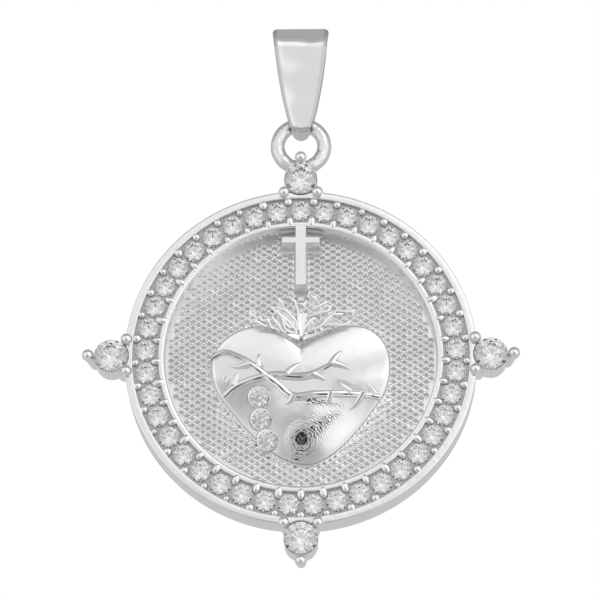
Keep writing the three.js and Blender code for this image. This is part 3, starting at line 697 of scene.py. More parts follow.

# %% [markdown]
# ## Bail
#
# The bail is a strip folded into a loop: wide at the top, narrow where it carries the ring. One number
# runs along the loop's side view, made of arcs and straight legs, and the other goes round the strip's
# rounded section. The strip's width depends on the height, as if it were cut out in the front view. Its
# edges were filed and its foot only brushed after that, so both are marked as dull: they are rougher, and
# painted shade darkens their colour.

# %% Bail
STRIP = 0.35
bail_low, bail_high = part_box("bail")
BAIL_TOP = bail_high.z / MM - DISC_HEIGHT
BAIL_BOTTOM = bail_low.z / MM - DISC_HEIGHT
BAIL_HEIGHT = BAIL_TOP - BAIL_BOTTOM
BAIL_HALF_WIDTH = bail_high.x / MM
BAIL_BEND = bail_high.y / MM
FOOT_BEND = 1.1
FRONT_CORNER = 0.42
REAR_CORNER = 0.5
FOOT_LEVEL = BAIL_BOTTOM + 0.18
FOOT_HALF_WIDTH = 0.68
FOOT_CROWN = 0.2
FOOT_THINNING = 0.3
FOOT_BOWL = 0.76
BOWL_END = 0.92
FOOT_SHADE_AND_BRUSHING = 0.45
TOP_CORNER = 0.75
DISH = 0.08
STRIP_EDGE = 0.16
REAR_TRIM = 0.17


def leg_lean(corner):
    """A leg touches the top bend and a corner of the foot: R - r - (f - r) cos L = h sin L for its lean L."""
    lean = 0.0
    for _ in range(20):
        short = BAIL_BEND - corner - (FOOT_BEND - corner) * np.cos(lean)
        lean = np.arcsin(short / (BAIL_TOP - BAIL_BEND - FOOT_LEVEL - corner))
    return lean


def side_view():
    """Points and outward normals of the loop in Y and Z: a top bend, two legs and a foot's two corners."""
    front_lean, rear_lean = leg_lean(FRONT_CORNER), leg_lean(REAR_CORNER)
    top = np.linspace(-rear_lean, np.pi + front_lean, 61)
    front = np.linspace(np.pi + front_lean, 1.5 * np.pi, 12)
    rear = np.linspace(1.5 * np.pi, 2 * np.pi - rear_lean, 12)
    arcs = [
        (0, BAIL_TOP - BAIL_BEND, BAIL_BEND, top),
        (FRONT_CORNER - FOOT_BEND, FOOT_LEVEL + FRONT_CORNER, FRONT_CORNER, front),
        (FOOT_BEND - REAR_CORNER, FOOT_LEVEL + REAR_CORNER, REAR_CORNER, rear),
    ]
    spots = [
        np.stack([y + size * np.cos(turn), z + size * np.sin(turn), turn], 1) for y, z, size, turn in arcs
    ]
    share = np.linspace(0, 1, 50)[1:-1, None]
    front_leg = spots[0][-1] + share * (spots[1][0] - spots[0][-1])
    foot = spots[1][-1] + share[::5] * (spots[2][0] - spots[1][-1])
    rear_leg = spots[2][-1] + share * (spots[0][0] + (0, 0, 2 * np.pi) - spots[2][-1])
    line = np.vstack([spots[0], front_leg, spots[1], foot, spots[2], rear_leg])
    return line[:, :2], np.stack([np.cos(line[:, 2]), np.sin(line[:, 2])], 1)


def half_width(height):
    """Half the strip's width at a height: a narrow foot, a long curved taper and rounded top corners.

    Taper and corners are quadratic curves of the front view, read back as a width for each height."""
    t = np.linspace(0, 1, 60)
    waist_height = BAIL_BOTTOM + 0.32 * BAIL_HEIGHT
    foot_height = FOOT_LEVEL + 0.25
    side_height = BAIL_TOP - TOP_CORNER
    taper_z = (1 - t) ** 2 * foot_height + 2 * t * (1 - t) * waist_height + t**2 * side_height
    taper_x = (
        (1 - t) ** 2 * FOOT_HALF_WIDTH + 2 * t * (1 - t) * 0.76 * BAIL_HALF_WIDTH + t**2 * BAIL_HALF_WIDTH
    )
    end_z = BAIL_TOP - TOP_CORNER * (1 - t) ** 2
    end_x = BAIL_HALF_WIDTH - TOP_CORNER * t**2
    return np.interp(height, np.append(taper_z, end_z[1:]), np.append(taper_x, end_x[1:]))


def strip_section():
    """The strip's section: a share of the half width, a reach beyond it, and a depth below the face."""
    flat = np.linspace(-1, 1, 17)
    arc = np.linspace(0, np.pi / 2, 6)[1:]
    turn, still = np.sin(arc) * STRIP_EDGE, (1 - np.cos(arc)) * STRIP_EDGE
    share = np.concatenate([flat, np.ones(10), -flat, -np.ones(10)])
    reach = np.concatenate([0 * flat, turn, turn[::-1], 0 * flat, -turn, -turn[::-1]])
    depth = np.concatenate([
        0 * flat, still, STRIP - still[::-1], STRIP + 0 * flat, STRIP - still, still[::-1],
    ])
    return share, reach, depth


def bail_strip():
    """The section carried round the side view.

    The face is dished: its middle sinks a little on the legs, and hammering leaves it uneven. Where the
    strip turns under the foot, it is half round instead: its outside falls off toward both edges with
    the square of the share. All of this fades out through the strip's thickness, and bending has thinned
    the strip under the foot, which leaves the ring's wire its clearance. The rear leg is cut a
    little narrower than the front one, and the foot draws in toward it like a bowl: seen from 19 degrees
    below, its outline is the root of one minus the square of the drop over the bowl's height."""
    line, normal = side_view()
    share, reach, depth = strip_section()
    under = smooth_step(0.1, 0.95, -normal[:, 1])[:, None]
    inward = depth[None, :] * (1 - FOOT_THINNING * under)
    spot = line[:, None, :] - normal[:, None, :] * inward[..., None]
    full = half_width(spot[..., 1]) - REAR_TRIM * smooth_step(-0.5, 0.5, spot[..., 0])
    drop = np.sin(-VIEW_ELEVATION) * (spot[..., 0] + FOOT_BEND)
    drop = drop - np.cos(VIEW_ELEVATION) * (spot[..., 1] - FOOT_LEVEL)
    full = full * np.sqrt(1 - np.clip(drop / FOOT_BOWL, 0, BOWL_END) ** 2)
    x = share * (full - STRIP_EDGE) + reach
    on_leg = (1 - smooth_step(0.35, 0.9, np.abs(normal[:, 1])))[:, None]
    dish = DISH * (1 - share**2)[None, :] * (full / BAIL_HALF_WIDTH) ** 2
    waves = 0.016 * (1 + uneven(x, spot[..., 1], 2.6, seed=23)) * (1 - share**6)[None, :]
    crown = FOOT_CROWN * (share**2)[None, :] * (full / FOOT_HALF_WIDTH) ** 2 * under
    fade = 1 - depth[None, :] / STRIP
    spot = spot - normal[:, None, :] * (((dish + waves) * on_leg + crown) * fade)[..., None]
    points = np.stack([x, spot[..., 0], spot[..., 1]], axis=-1)
    return points.reshape(-1, 3), [grid_faces(len(line), len(share), True, True)]


bail_shape = bail_strip()
# The filed edges and the brushed foot are rougher, and painted shade darkens their colour.
filed = smooth_step(0.86, 1.0, np.abs(strip_section()[0]))[None, :]
brushed = smooth_step(0.085, 0.2, -side_view()[1][:, 1])[:, None]
bail_marks = np.maximum(filed * (1 - brushed), FOOT_SHADE_AND_BRUSHING * brushed)
make_piece(
    "folded_bail", bail_shape, filed_and_shaded_edges, "bail", ["bail"], marks=bail_marks.ravel()
)

# %% [markdown]
# ## Heart
#
# The heart is a puffed relief. Its outline is a chain of curves, and its height depends on how far a
# point lies on the way from a middle point to the outline: a wall, and on it a dome of one minus the
# share to a power, to another power. The lobes have a high wall and a low crown, and the flanks slope
# nearly all the way to the plate, so wall and powers depend on the direction.

# %% The heart's outline
HEART_HALF_WIDTH = 6.33
LOBE_TOP = 2.12
HEART_NOTCH = 1.15
HEART_TIP = 7.81
TIP_SHIFT = 0.35
HEART_WIDEST = 0.9
HEART_FLANK = 3.1
HEART_RISE = 2.0
HEART_MIDDLE = np.array([0.1, -1.0])
LOBE_WALL, LOBE_POWER, LOBE_FALL = 1.68, 2.0, 1.0
FLANK_WALL, FLANK_POWER, FLANK_FALL = 0.34, 1.6, 0.9
LOBE_START, FLANK_START = 0.35, -1.0
TOOLED_SPOT = np.array([0.05, -6.05])
TOOLED_HEIGHT = 1.02
TOOLED_TILT = np.radians(19)
FLAT_REACH = 0.92
BROW_DROP = 0.5
BROW_REACH = 1.0


def heart_controls():
    """Control points of ten cubic curves, from the notch round the left lobe, the tip and the right."""
    wide, top, tip, flank = HEART_HALF_WIDTH, LOBE_TOP, -HEART_TIP, -HEART_FLANK
    arc = HEART_NOTCH + 0.12 * LOBE_TOP
    return np.array([
        [0, HEART_NOTCH], [-0.11 * wide, arc], [-0.27 * wide, top], [-0.45 * wide, top],
        [-0.74 * wide, top], [-wide, 0.35 * top], [-wide, -HEART_WIDEST],
        [-wide, 0.55 * flank], [-0.97 * wide, 0.8 * flank], [-0.9 * wide, flank],
        [-0.76 * wide, 0.55 * tip], [-0.48 * wide, 0.81 * tip], [-0.26 * wide, 0.92 * tip],
        [-0.15 * wide, 0.97 * tip], [-0.05 * wide, tip], [TIP_SHIFT, tip],
        [0.16 * wide, tip], [0.27 * wide, 0.96 * tip], [0.38 * wide, 0.89 * tip],
        [0.58 * wide, 0.76 * tip], [0.78 * wide, 0.54 * tip], [0.91 * wide, flank],
        [0.97 * wide, 0.8 * flank], [wide, 0.55 * flank], [wide, -HEART_WIDEST],
        [wide, 0.38 * top], [0.84 * wide, top], [0.57 * wide, top],
        [0.35 * wide, top], [0.13 * wide, arc], [0, HEART_NOTCH],
    ])


def curve_chain(controls, steps=40):
    """Points on a chain of cubic curves that share their end points."""
    starts = np.arange(0, len(controls) - 1, 3)
    a, b, c, d = (controls[starts + i][:, None, :] for i in range(4))
    t = np.linspace(0, 1, steps, endpoint=False)[None, :, None]
    points = (1 - t) ** 3 * a + 3 * t * (1 - t) ** 2 * b + 3 * t**2 * (1 - t) * c + t**3 * d
    return points.reshape(-1, 2)


outline_arms = curve_chain(heart_controls()) - HEART_MIDDLE
outline_turn = np.arctan2(outline_arms[:, 1], outline_arms[:, 0])
outline_order = np.argsort(outline_turn)
outline_turn = outline_turn[outline_order]
outline_reach = np.linalg.norm(outline_arms, axis=1)[outline_order]


def heart_reach(turn):
    """The outline's distance from the middle point in a direction."""
    return np.interp(turn, outline_turn, outline_reach, period=2 * np.pi)


# %% The heart's surface
HEART_STONE = 1.4
COLLAR_LAP = 0.06
STONE_PLACES = [np.array([-2.9, -3.15])]
for slant in np.radians([5, 17]):
    pitch = HEART_STONE + 0.07
    STONE_PLACES.append(STONE_PLACES[-1] + pitch * np.array([np.sin(slant), -np.cos(slant)]))


def heart_height(x, z):
    """Height of the heart's front over its back at a place; nothing outside the outline.

    The sine of the direction blends the flanks' wall and powers into the lobes'. The upper edge is
    rounded by the root of one minus the share to the 90th, a soft groove runs down from the notch, and
    beside the notch the lobes have a sloping brow that falls off over the last millimetre. At the tooled
    spot the dome is pressed flat, square to a line that points 19 degrees down."""
    arm_x, arm_z = x - HEART_MIDDLE[0], z - HEART_MIDDLE[1]
    turn = np.arctan2(arm_z, arm_x)
    share = np.hypot(arm_x, arm_z) / heart_reach(turn)
    inner = np.clip(share, 0, 1)
    lobe = smooth_step(FLANK_START, LOBE_START, np.sin(turn))
    wall = FLANK_WALL + (LOBE_WALL - FLANK_WALL) * lobe
    power = FLANK_POWER + (LOBE_POWER - FLANK_POWER) * lobe
    fall = FLANK_FALL + (LOBE_FALL - FLANK_FALL) * lobe
    dome = wall + (HEART_RISE - wall) * (1 - inner**power) ** fall
    to_edge = (1 - inner) * heart_reach(turn)
    beside_notch = np.exp(-((x / 2.2) ** 4)) * smooth_step(-1.0, 0.4, z)
    brow = BROW_DROP * smooth_step(BROW_REACH, 0, to_edge) * beside_notch
    groove = 0.1 * np.exp(-np.hypot(x - 0.05, 0.3) / 0.6) * smooth_step(-1.6, 1.0, z)
    pressed = np.exp(-((np.hypot(x - TOOLED_SPOT[0], z - TOOLED_SPOT[1]) / FLAT_REACH) ** 4))
    flat = TOOLED_HEIGHT + np.tan(TOOLED_TILT) * (z - TOOLED_SPOT[1])
    dome = dome + (flat - dome) * pressed
    height = (dome - groove - brow) * np.sqrt(1 - inner**90)
    return np.where(share > 1, 0, np.maximum(height, 0.02))


def heart_normal(x, z):
    """The outward direction of the heart's front, from the height's slopes."""
    step = 0.04
    slope_x = (heart_height(x + step, z) - heart_height(x - step, z)) / (2 * step)
    slope_z = (heart_height(x, z + step) - heart_height(x, z - step)) / (2 * step)
    return unit(np.stack([-slope_x, -np.ones_like(slope_x), -slope_z], axis=-1))


def heart_front(x, z, lift=0.0):
    """The point of the heart's front at a place, lifted off it by a distance."""
    x, z = np.asarray(x, float), np.asarray(z, float)
    return np.stack([x, RELIEF_BACK - heart_height(x, z) - lift, z], axis=-1)


def heart_dome():
    """The heart as a fan of rings: share from 0 in the middle to 1 at the outline, then back behind.

    A random field of under a micron keeps the polish from looking cast in plastic, a rougher one marks
    the left cheek, and the front sinks under each stone to make its well."""
    turn = np.arange(480)[None, :] * 2 * np.pi / 480
    share = np.sin(np.linspace(0, np.pi / 2, 170))[:, None]
    reach = heart_reach(turn) * np.minimum(share, 0.9995)
    x = HEART_MIDDLE[0] + reach * np.cos(turn)
    z = HEART_MIDDLE[1] + reach * np.sin(turn)
    height = heart_height(x, z)
    left_cheek = smooth_step(-0.6, -1.6, z) * smooth_step(-3.6, -4.6, x) * smooth_step(-3.2, -2.4, z)
    calm = 0.0008 * uneven(x, z, 0.9, seed=32)
    grain = 0.0025 * uneven(x, z, 0.3, seed=35) * left_cheek
    height = height + (calm + grain) * (share < 0.9)
    for place in STONE_PLACES:
        away = np.hypot(x - place[0], z - place[1])
        height = height - 0.75 * smooth_step(0.77, 0.71, away)
    front = np.stack([x, RELIEF_BACK - np.maximum(height, 0.02), z], axis=-1)
    behind = front[[-1, 0]].copy()
    behind[..., 1] = RELIEF_BACK
    points = np.concatenate([front, behind])
    return points.reshape(-1, 3), [grid_faces(len(points), 480, ring_columns=True)]


def stone_bezel(place):
    """A flush collar round a heart stone, turned, then stood on the heart: it falls off with the dome."""
    inner, outer = HEART_STONE / 2 - COLLAR_LAP - 0.02, HEART_STONE / 2 + 0.08
    corners = [[inner, 0.6], [inner, 0.0], [inner + 0.05, 0.0], [outer, 0.02], [outer, 0.6]]
    return stood_on_heart(turned(rounded(corners, [0.02, 0.01, 0.02, 0.02, 0.02], 3), 48), place)


def heart_turn(place):
    """The rotation from -Y to the heart's outward direction at a place."""
    outward = Vector(heart_normal(*np.asarray(place, float)))
    return np.array(Vector((0, -1, 0)).rotation_difference(outward).to_matrix())


def stood_on_heart(shape, place):
    """A shape made along -Y, turned and moved so that it stands on the heart."""
    points, blocks = shape
    return points @ heart_turn(place).T + heart_front(*place), blocks


# %% [markdown]
# Low on the heart a tool has left ragged rings round one spot, with a tail up to the right and a short one
# down, and a rough place under the vine. The spot faces the lens, so it mirrors it as a dark core that the
# rings break up. They are too fine for the mesh, so a wave texture bumps the shading, and the mesh only
# says where: a mark that fades with distance.

# %% The tooled places
TOOLED_LINES = [
    {"start": TOOLED_SPOT, "end": np.array([2.5, -4.3]), "wide": 0.85, "narrow": 0.45, "fade": 0.5},
    {"start": TOOLED_SPOT, "end": np.array([-0.3, -7.2]), "wide": 0.8, "narrow": 0.5, "fade": 0.25},
    {"start": np.array([0.6, -3.5]), "end": np.array([2.9, -3.7]), "wide": 0.3, "narrow": 0.2, "fade": 0.6},
]
RING_PITCH = 0.17
RING_DEPTH = 0.02
WAVE_PERIOD = np.pi / 10


def near_line(x, z, line):
    """How near a place is to a line: e to the minus square of distance over width, less toward its end."""
    arm = line["end"] - line["start"]
    along = ((x - line["start"][0]) * arm[0] + (z - line["start"][1]) * arm[1]) / (arm @ arm)
    along = np.clip(along, 0, 1)
    away = np.hypot(x - line["start"][0] - along * arm[0], z - line["start"][1] - along * arm[1])
    width = line["wide"] + (line["narrow"] - line["wide"]) * along
    return np.exp(-((away / width) ** 2)) * (1 - line["fade"] * along)


def tooling(points):
    """How strongly each point is tooled. The spot's own middle stays nearly smooth."""
    x, z = points[:, 0], points[:, 2]
    strongest = np.max([near_line(x, z, line) for line in TOOLED_LINES], axis=0)
    from_spot = np.hypot(x - TOOLED_SPOT[0], z - TOOLED_SPOT[1])
    return strongest * (0.08 + 0.92 * smooth_step(0.4, 0.62, from_spot))


def tooled_plate():
    """Polished plate with ring ripples: one wave is 2 pi / 20 of the texture's own length.

    The deepest ripples get a dark colour as a painted reflection of the lens, so they read as ragged dashes."""
    material = rhodium_plate("rhodium_tooled_with_painted_reflection", "#F6F6F7", "#EFEFF1", 0.05, 0.11, 0.5, 0.0012)
    tree = material.node_tree
    place = add_node(tree, "ShaderNodeTexCoord", {}).outputs["Object"]
    spot = (TOOLED_SPOT[0] * MM, 0, (TOOLED_SPOT[1] + DISC_HEIGHT) * MM)
    from_spot = add_node(tree, "ShaderNodeVectorMath", {0: place, 1: spot}, operation="SUBTRACT")
    rings = add_node(
        tree, "ShaderNodeTexWave", {
            "Vector": from_spot.outputs[0], "Scale": WAVE_PERIOD * per_mm(RING_PITCH),
            "Distortion": 9.0, "Detail": 4.0, "Detail Scale": 2.2,
        }, wave_type="RINGS", rings_direction="SPHERICAL",
    )
    where = add_node(tree, "ShaderNodeAttribute", {}, attribute_name="marks")
    height = add_node(
        tree, "ShaderNodeMath", {0: rings.outputs["Fac"], 1: where.outputs["Fac"]}, operation="MULTIPLY"
    )
    bump = add_node(
        tree, "ShaderNodeBump", {"Strength": 1.0, "Distance": RING_DEPTH * MM, "Height": height.outputs[0]}
    )
    tree.links.new(bump.outputs["Normal"], tree.nodes["Bump"].inputs["Normal"])
    base = tree.nodes["Principled BSDF"].inputs["Base Color"]
    # Painted reflection: ripples are darkened as if they mirrored the dark lens.
    painted_reflection_share = add_node(tree, "ShaderNodeMapRange", {
        "Value": height.outputs[0], "From Min": 0.3, "From Max": 0.6, "To Max": 0.95,
    })
    with_painted_reflection = add_node(tree, "ShaderNodeMix", {
        "Factor": painted_reflection_share.outputs["Result"], "A": base.links[0].from_socket, "B": linear("#2E2E31"),
    }, data_type="RGBA")
    tree.links.new(with_painted_reflection.outputs["Result"], base)
    return material


# %% The heart and its stones
heart_shape = joined([heart_dome(), *[stone_bezel(place) for place in STONE_PLACES]])
make_piece(
    "puffed_heart", heart_shape, tooled_plate(), "medallion", ["heart"],
    marks=tooling(heart_shape[0]),
)
heart_cut = brilliant(HEART_STONE - 2 * COLLAR_LAP)
for number, place in enumerate(STONE_PLACES, start=1):
    set_stone(
        f"heart_brilliant_{number}", heart_cut, heart_turn(place), heart_front(*place),
        f"heart_stone_{number}",
    )

# %% [markdown]
# ## Swept ridges
#
# Vines, thorns and flames are all ridges: a small section carried along a line that lies on a surface.
# At each point the section's own axes are the surface's outward direction and the direction across the
# line. The section's crest is off centre on the vines, so their upper edge catches the light.


# %% Sweep a section along a line
def swept(path, outward, section, size):
    """A section of across and out, carried along a path, scaled by size and closed at both ends."""
    along = unit(np.gradient(path, axis=0))
    across = unit(np.cross(outward, along))
    size = np.broadcast_to(np.asarray(size, float), (len(path),))[:, None, None]
    points = path[:, None, :] + size * (
        section[None, :, :1] * across[:, None, :] + section[None, :, 1:] * outward[:, None, :]
    )
    sides = len(section)
    ends = np.stack([np.arange(sides), np.arange(sides) + (len(path) - 1) * sides])
    return points.reshape(-1, 3), [grid_faces(len(path), sides, ring_columns=True), ends]


def smooth_line(places, steps):
    """A line through given places: each stretch is a cubic with Catmull and Rom's tangents."""
    places = np.asarray(places, float)
    padded = np.vstack([2 * places[0] - places[1], places, 2 * places[-1] - places[-2]])
    a, b, c, d = (padded[i : len(padded) - 3 + i][:, None, :] for i in range(4))
    t = np.linspace(0, 1, steps, endpoint=False)[None, :, None]
    points = 0.5 * (
        2 * b + (c - a) * t + (2 * a - 5 * b + 4 * c - d) * t**2 + (3 * b - a - 3 * c + d) * t**3
    )
    return np.vstack([points.reshape(-1, places.shape[1]), places[-1:]])


# %% [markdown]
# ## Crown of thorns
#
# Two vines lie across the heart and cross on its left side. Each is a sharp ridge with a flatter step
# under it. The crevice between them is too narrow to polish, so it stays rough, and painted shade darkens
# it. The thorns are short ridges that leave a vine and run out to a point.

# %% Vines and thorns
VINE_UPPER = [
    [-6.6, -0.6], [-5.45, 0.1], [-4.4, -0.22], [-3.5, -0.75], [-2.34, -1.62], [-1.5, -2.25],
    [-0.45, -3.1], [1.0, -2.95], [2.75, -2.85], [4.5, -2.9], [5.45, -3.0],
]
VINE_LOWER = [
    [-5.4, -2.98], [-4.65, -2.38], [-3.65, -1.95], [-2.6, -1.68], [-1.5, -1.6],
    [0.05, -1.72], [1.0, -1.5], [1.9, -1.02], [2.6, -0.62],
]
THORNS = [
    [[-2.85, -1.1], [-2.85, -0.12]], [[-3.5, -0.85], [-5.0, -0.95]], [[-4.6, -2.3], [-4.3, -1.4]],
    [[-0.9, -1.6], [0.1, -0.85]], [[2.2, -0.9], [2.9, 0.05]], [[2.2, -0.85], [3.45, -1.3]],
    [[0.9, -1.65], [1.75, -2.1]], [[5.2, -2.9], [4.6, -1.95]], [[4.3, -2.85], [3.35, -4.05]],
    [[-0.5, -3.15], [-1.05, -3.75]], [[2.1, -2.9], [1.7, -3.75]], [[3.5, -2.8], [2.75, -2.2]],
]
VINE_SECTION = np.array([
    [0.2, -0.15], [0.19, 0.07], [0.155, 0.16], [0.09, 0.215], [0.0, 0.25], [-0.09, 0.27], [-0.13, 0.23],
    [-0.145, 0.09], [-0.175, 0.06], [-0.22, 0.11], [-0.28, 0.12], [-0.4, 0.04], [-0.44, -0.15],
])
VINE_CREVICE_SHADE = np.array([0, 0, 0, 0, 0, 0, 0, 0.9, 0.9, 0.1, 0, 0, 0])
THORN_RADIUS = 0.29
ROUND_TURN = np.arange(16) * 2 * np.pi / 16
ROUND_SECTION = np.stack([np.cos(ROUND_TURN), np.sin(ROUND_TURN)], 1)


def on_heart_line(line, lift):
    """A line of X and Z laid on the heart, or on the plate beside it, with the direction out of it.

    A running mean of the depth bridges small hollows, as a wire laid across them would."""
    x, z = line[:, 0], line[:, 1]
    path = heart_front(x, z, lift)
    soft = np.ones(9) / 9
    padded = np.pad(path[:, 1], 4, mode="edge")
    path[:, 1] = np.minimum(path[:, 1], np.convolve(padded, soft, "valid"))
    outward = unit(heart_normal(x, z) + (0, -1.5, 0))
    return path, outward


def vine(places):
    """A vine: its ridge, crevice and step carried along the heart, thinner toward both ends."""
    path, outward = on_heart_line(smooth_line(places, 14), 0.0)
    share = np.linspace(0, 1, len(path))
    size = 0.35 + 0.65 * np.sin(np.pi * np.clip(share, 0.08, 0.92)) ** 0.4
    return swept(path, outward, VINE_SECTION, size)


def thorn(root, tip):
    """A thorn: a slightly bent cone, half sunk, from its root on a vine to a point."""
    root, tip = np.array(root), np.array(tip)
    t = np.linspace(0, 1, 12)[:, None]
    aside = np.array([-(tip - root)[1], (tip - root)[0]]) * 0.06
    line = root + (tip - root) * t + aside * np.sin(np.pi * t)
    path, outward = on_heart_line(line, 0.04)
    return swept(path, outward, ROUND_SECTION * (1, 0.85), THORN_RADIUS * (1 - t[:, 0]) ** 0.6 + 0.012)


vines = joined([vine(VINE_UPPER), vine(VINE_LOWER)])
thorns = joined([thorn(*ends) for ends in THORNS])
# Painted shade in the vines' crevices, uneven along them. The crevices are also rougher.
patchy = np.clip(0.55 + 0.5 * uneven(vines[0][:, 0], vines[0][:, 2], 1.1, seed=44), 0, 1)
vine_marks = np.tile(VINE_CREVICE_SHADE, len(vines[0]) // len(VINE_CREVICE_SHADE)) * patchy
make_piece(
    "woven_thorns", joined([vines, thorns]), crevice_shaded, "medallion", ["thorn_crown"],
    marks=np.concatenate([vine_marks, np.zeros(len(thorns[0]))]),
)

# %% [markdown]
# ## Flame
#
# The flame is a fan of thin wavy ridges over the notch, with one broad trunk and one leaf, and the
# field shows between them. Flames follow no rule, so each ridge is a short list of given places, joined
# by a smooth curve. A collar slopes down from the flame to the heart's top edge.

# %% Flame
FLAME_LINES = {
    "crest": [[-0.87, 4.68], [-0.48, 4.39], [-0.36, 4.09], [-0.22, 3.62], [-0.22, 3.14], [-0.15, 2.2]],
    "crest_fork": [[-0.11, 4.17], [0.2, 4.1], [0.35, 4.42]],
    "high_left": [[-1.65, 4.53], [-1.31, 4.21], [-1.2, 3.83]],
    "leaf_top": [[-2.1, 3.9], [-1.23, 3.74], [-0.7, 3.26], [-0.36, 2.85], [-0.28, 2.2]],
    "leaf_foot": [[-2.1, 3.88], [-1.4, 3.3], [-0.85, 2.8], [-0.3, 2.1]],
    "wave_left": [[-1.93, 3.38], [-1.65, 3.5], [-1.37, 3.14], [-1.23, 2.67], [-1.04, 2.2], [-0.64, 1.97]],
    "bright_left": [[-2.04, 3.21], [-1.87, 2.91], [-1.59, 2.62], [-1.37, 2.2], [-1.09, 1.97]],
    "small_left": [[-1.2, 3.09], [-1.09, 2.73], [-0.81, 2.43], [-0.64, 2.37]],
    "far_left": [[-3.37, 2.97], [-2.82, 2.67], [-2.43, 2.43]],
    "far_left_high": [[-2.99, 3.21], [-2.71, 2.91], [-2.32, 2.91], [-2.04, 2.32], [-1.7, 2.14]],
    "edge_left": [[-3.93, 2.49], [-3.54, 2.09]],
    "edge_left_low": [[-3.37, 2.55], [-2.99, 2.26], [-2.65, 2.32]],
    "high_right": [[0.7, 4.74], [1.09, 4.5], [1.17, 4.39]],
    "faint_right": [[0.75, 3.74], [1.31, 4.0], [1.81, 4.33]],
    "hook_right": [[0.64, 3.23], [1.31, 3.5], [1.87, 3.59], [2.03, 3.85], [1.87, 4.0], [1.59, 3.79]],
    "inner_right": [[0.14, 2.03], [0.36, 2.49], [0.75, 2.97], [1.09, 3.09]],
    "long_right": [[0.42, 2.09], [1.09, 2.32], [1.59, 2.67], [1.87, 3.03], [2.26, 3.38], [2.54, 3.68]],
    "branch_right": [[2.26, 3.35], [2.98, 3.38]],
    "branch_far": [[2.54, 3.59], [3.54, 3.56], [3.77, 3.74]],
    "low_right": [[1.59, 2.55], [2.31, 2.62], [2.93, 2.55], [3.54, 2.91]],
    "notch": [[0.2, 1.37], [0.31, 1.85]],
}
TRUNK_SIDES = [[-0.08, 1.8], [-0.12, 2.6], [-0.19, 3.5]], [[0.22, 1.8], [0.3, 2.6], [0.46, 3.5]]
COLLAR_TOP = [
    [-3.2, 2.3], [-2.2, 2.12], [-1.2, 1.98], [-0.5, 1.88], [0.0, 1.75], [0.5, 1.85], [1.2, 2.05], [2.2, 2.3],
]
COLLAR_FOOT = [
    [-3.1, 2.1], [-2.3, 1.95], [-1.3, 1.6], [-0.6, 1.3], [0.0, 1.05], [0.6, 1.3], [1.3, 1.65], [2.3, 2.0],
]
FLAME_RISE = 0.3
FLAME_SECTION = np.array([
    [0.105, -0.3], [0.1, 0.0], [0.07, 0.045], [0.0, 0.06], [-0.07, 0.045], [-0.1, 0.0], [-0.105, -0.3],
])


def flame_line(places):
    """A raised ridge with a level top, narrower and lower at both ends, that stands on the plate."""
    line = smooth_line(places, 8)
    t = np.linspace(0, 1, len(line))
    swell = 0.5 + 0.5 * np.sin(np.pi * np.clip(t, 0.05, 0.95)) ** 0.5
    path = np.stack([line[:, 0], RELIEF_BACK - FLAME_RISE * (1 - 0.25 * t), line[:, 1]], axis=-1)
    outward = np.broadcast_to(np.array([0.0, -1.0, 0.0]), path.shape)
    return swept(path, outward, FLAME_SECTION, swell)


def web(first, second, rise_first, rise_second):
    """A low sheet between two lines of places: straight across, on the plate at its back."""
    first, second = smooth_line(first, 8), smooth_line(second, 8)
    rows = np.linspace(0, 1, 40)
    first, second = (
        np.stack([np.interp(rows, np.linspace(0, 1, len(line)), line[:, i]) for i in (0, 1)], 1)
        for line in (first, second)
    )
    across = np.array([0, 0, 0.25, 0.5, 0.75, 1, 1])
    rise = np.array([0.0, 1, 0.8, 0.7, 0.8, 1, 0.0])
    rise = rise * np.interp(across, [0, 1], [rise_first, rise_second])
    spot = first[:, None, :] * (1 - across)[None, :, None] + second[:, None, :] * across[None, :, None]
    y = RELIEF_BACK - rise[None, :] * (1 - 0.6 * rows[:, None])
    points = np.stack([spot[..., 0], y, spot[..., 1]], axis=-1)
    sides = len(across)
    ends = np.stack([np.arange(sides), np.arange(sides) + (len(rows) - 1) * sides])
    return points.reshape(-1, 3), [grid_faces(len(rows), sides, ring_columns=True), ends]


leaf = web(FLAME_LINES["leaf_top"], FLAME_LINES["leaf_foot"], 0.3, 0.03)
trunk = web(*TRUNK_SIDES, 0.2, 0.28)
collar = web(COLLAR_TOP, COLLAR_FOOT, 0.34, 0.02)
make_piece(
    "feathered_flame", joined([*map(flame_line, FLAME_LINES.values()), leaf, trunk, collar]),
    polished, "medallion", ["flame"],
)

# %% [markdown]
# ## Cross
#
# The cross is a small casting with soft bevelled edges on a plain pad. Its front comes from an outline
# with twelve corners, drawn once at full size and once smaller for the bevel.

# %% Cross and pad
CROSS_BAR = 0.75
CROSS_ARM = 0.46
CROSS_SPAN = 1.35
ARM_HEIGHT = FIELD_RADIUS - 0.92
CROSS_FOOT = FIELD_RADIUS - 4.31
CROSS_HEAD = FIELD_RADIUS + 0.25
PAD_FOOT = FIELD_RADIUS - 1.55
PAD_HALF_WIDTH = 1.43
CROSS_DRAFT = 0.15


def cross_outline(shrink):
    """The twelve corners of the cross, moved inward by a distance."""
    bar, arm, span = CROSS_BAR / 2 - shrink, CROSS_ARM / 2 - shrink, CROSS_SPAN - shrink
    half = np.array([
        [bar, CROSS_FOOT + shrink], [bar, ARM_HEIGHT - arm], [span, ARM_HEIGHT - arm],
        [span, ARM_HEIGHT + arm], [bar, ARM_HEIGHT + arm], [bar, CROSS_HEAD - shrink],
    ])
    return np.vstack([half, half[::-1] * (-1, 1)])


def slab(levels):
    """A solid from outlines at depths: walls between the levels and a face at each end."""
    points = np.concatenate([np.insert(outline, 1, y, axis=1) for outline, y in levels])
    sides = len(levels[0][0])
    ends = np.stack([np.arange(sides), np.arange(sides) + (len(levels) - 1) * sides])
    return points, [grid_faces(len(levels), sides, ring_columns=True), ends]


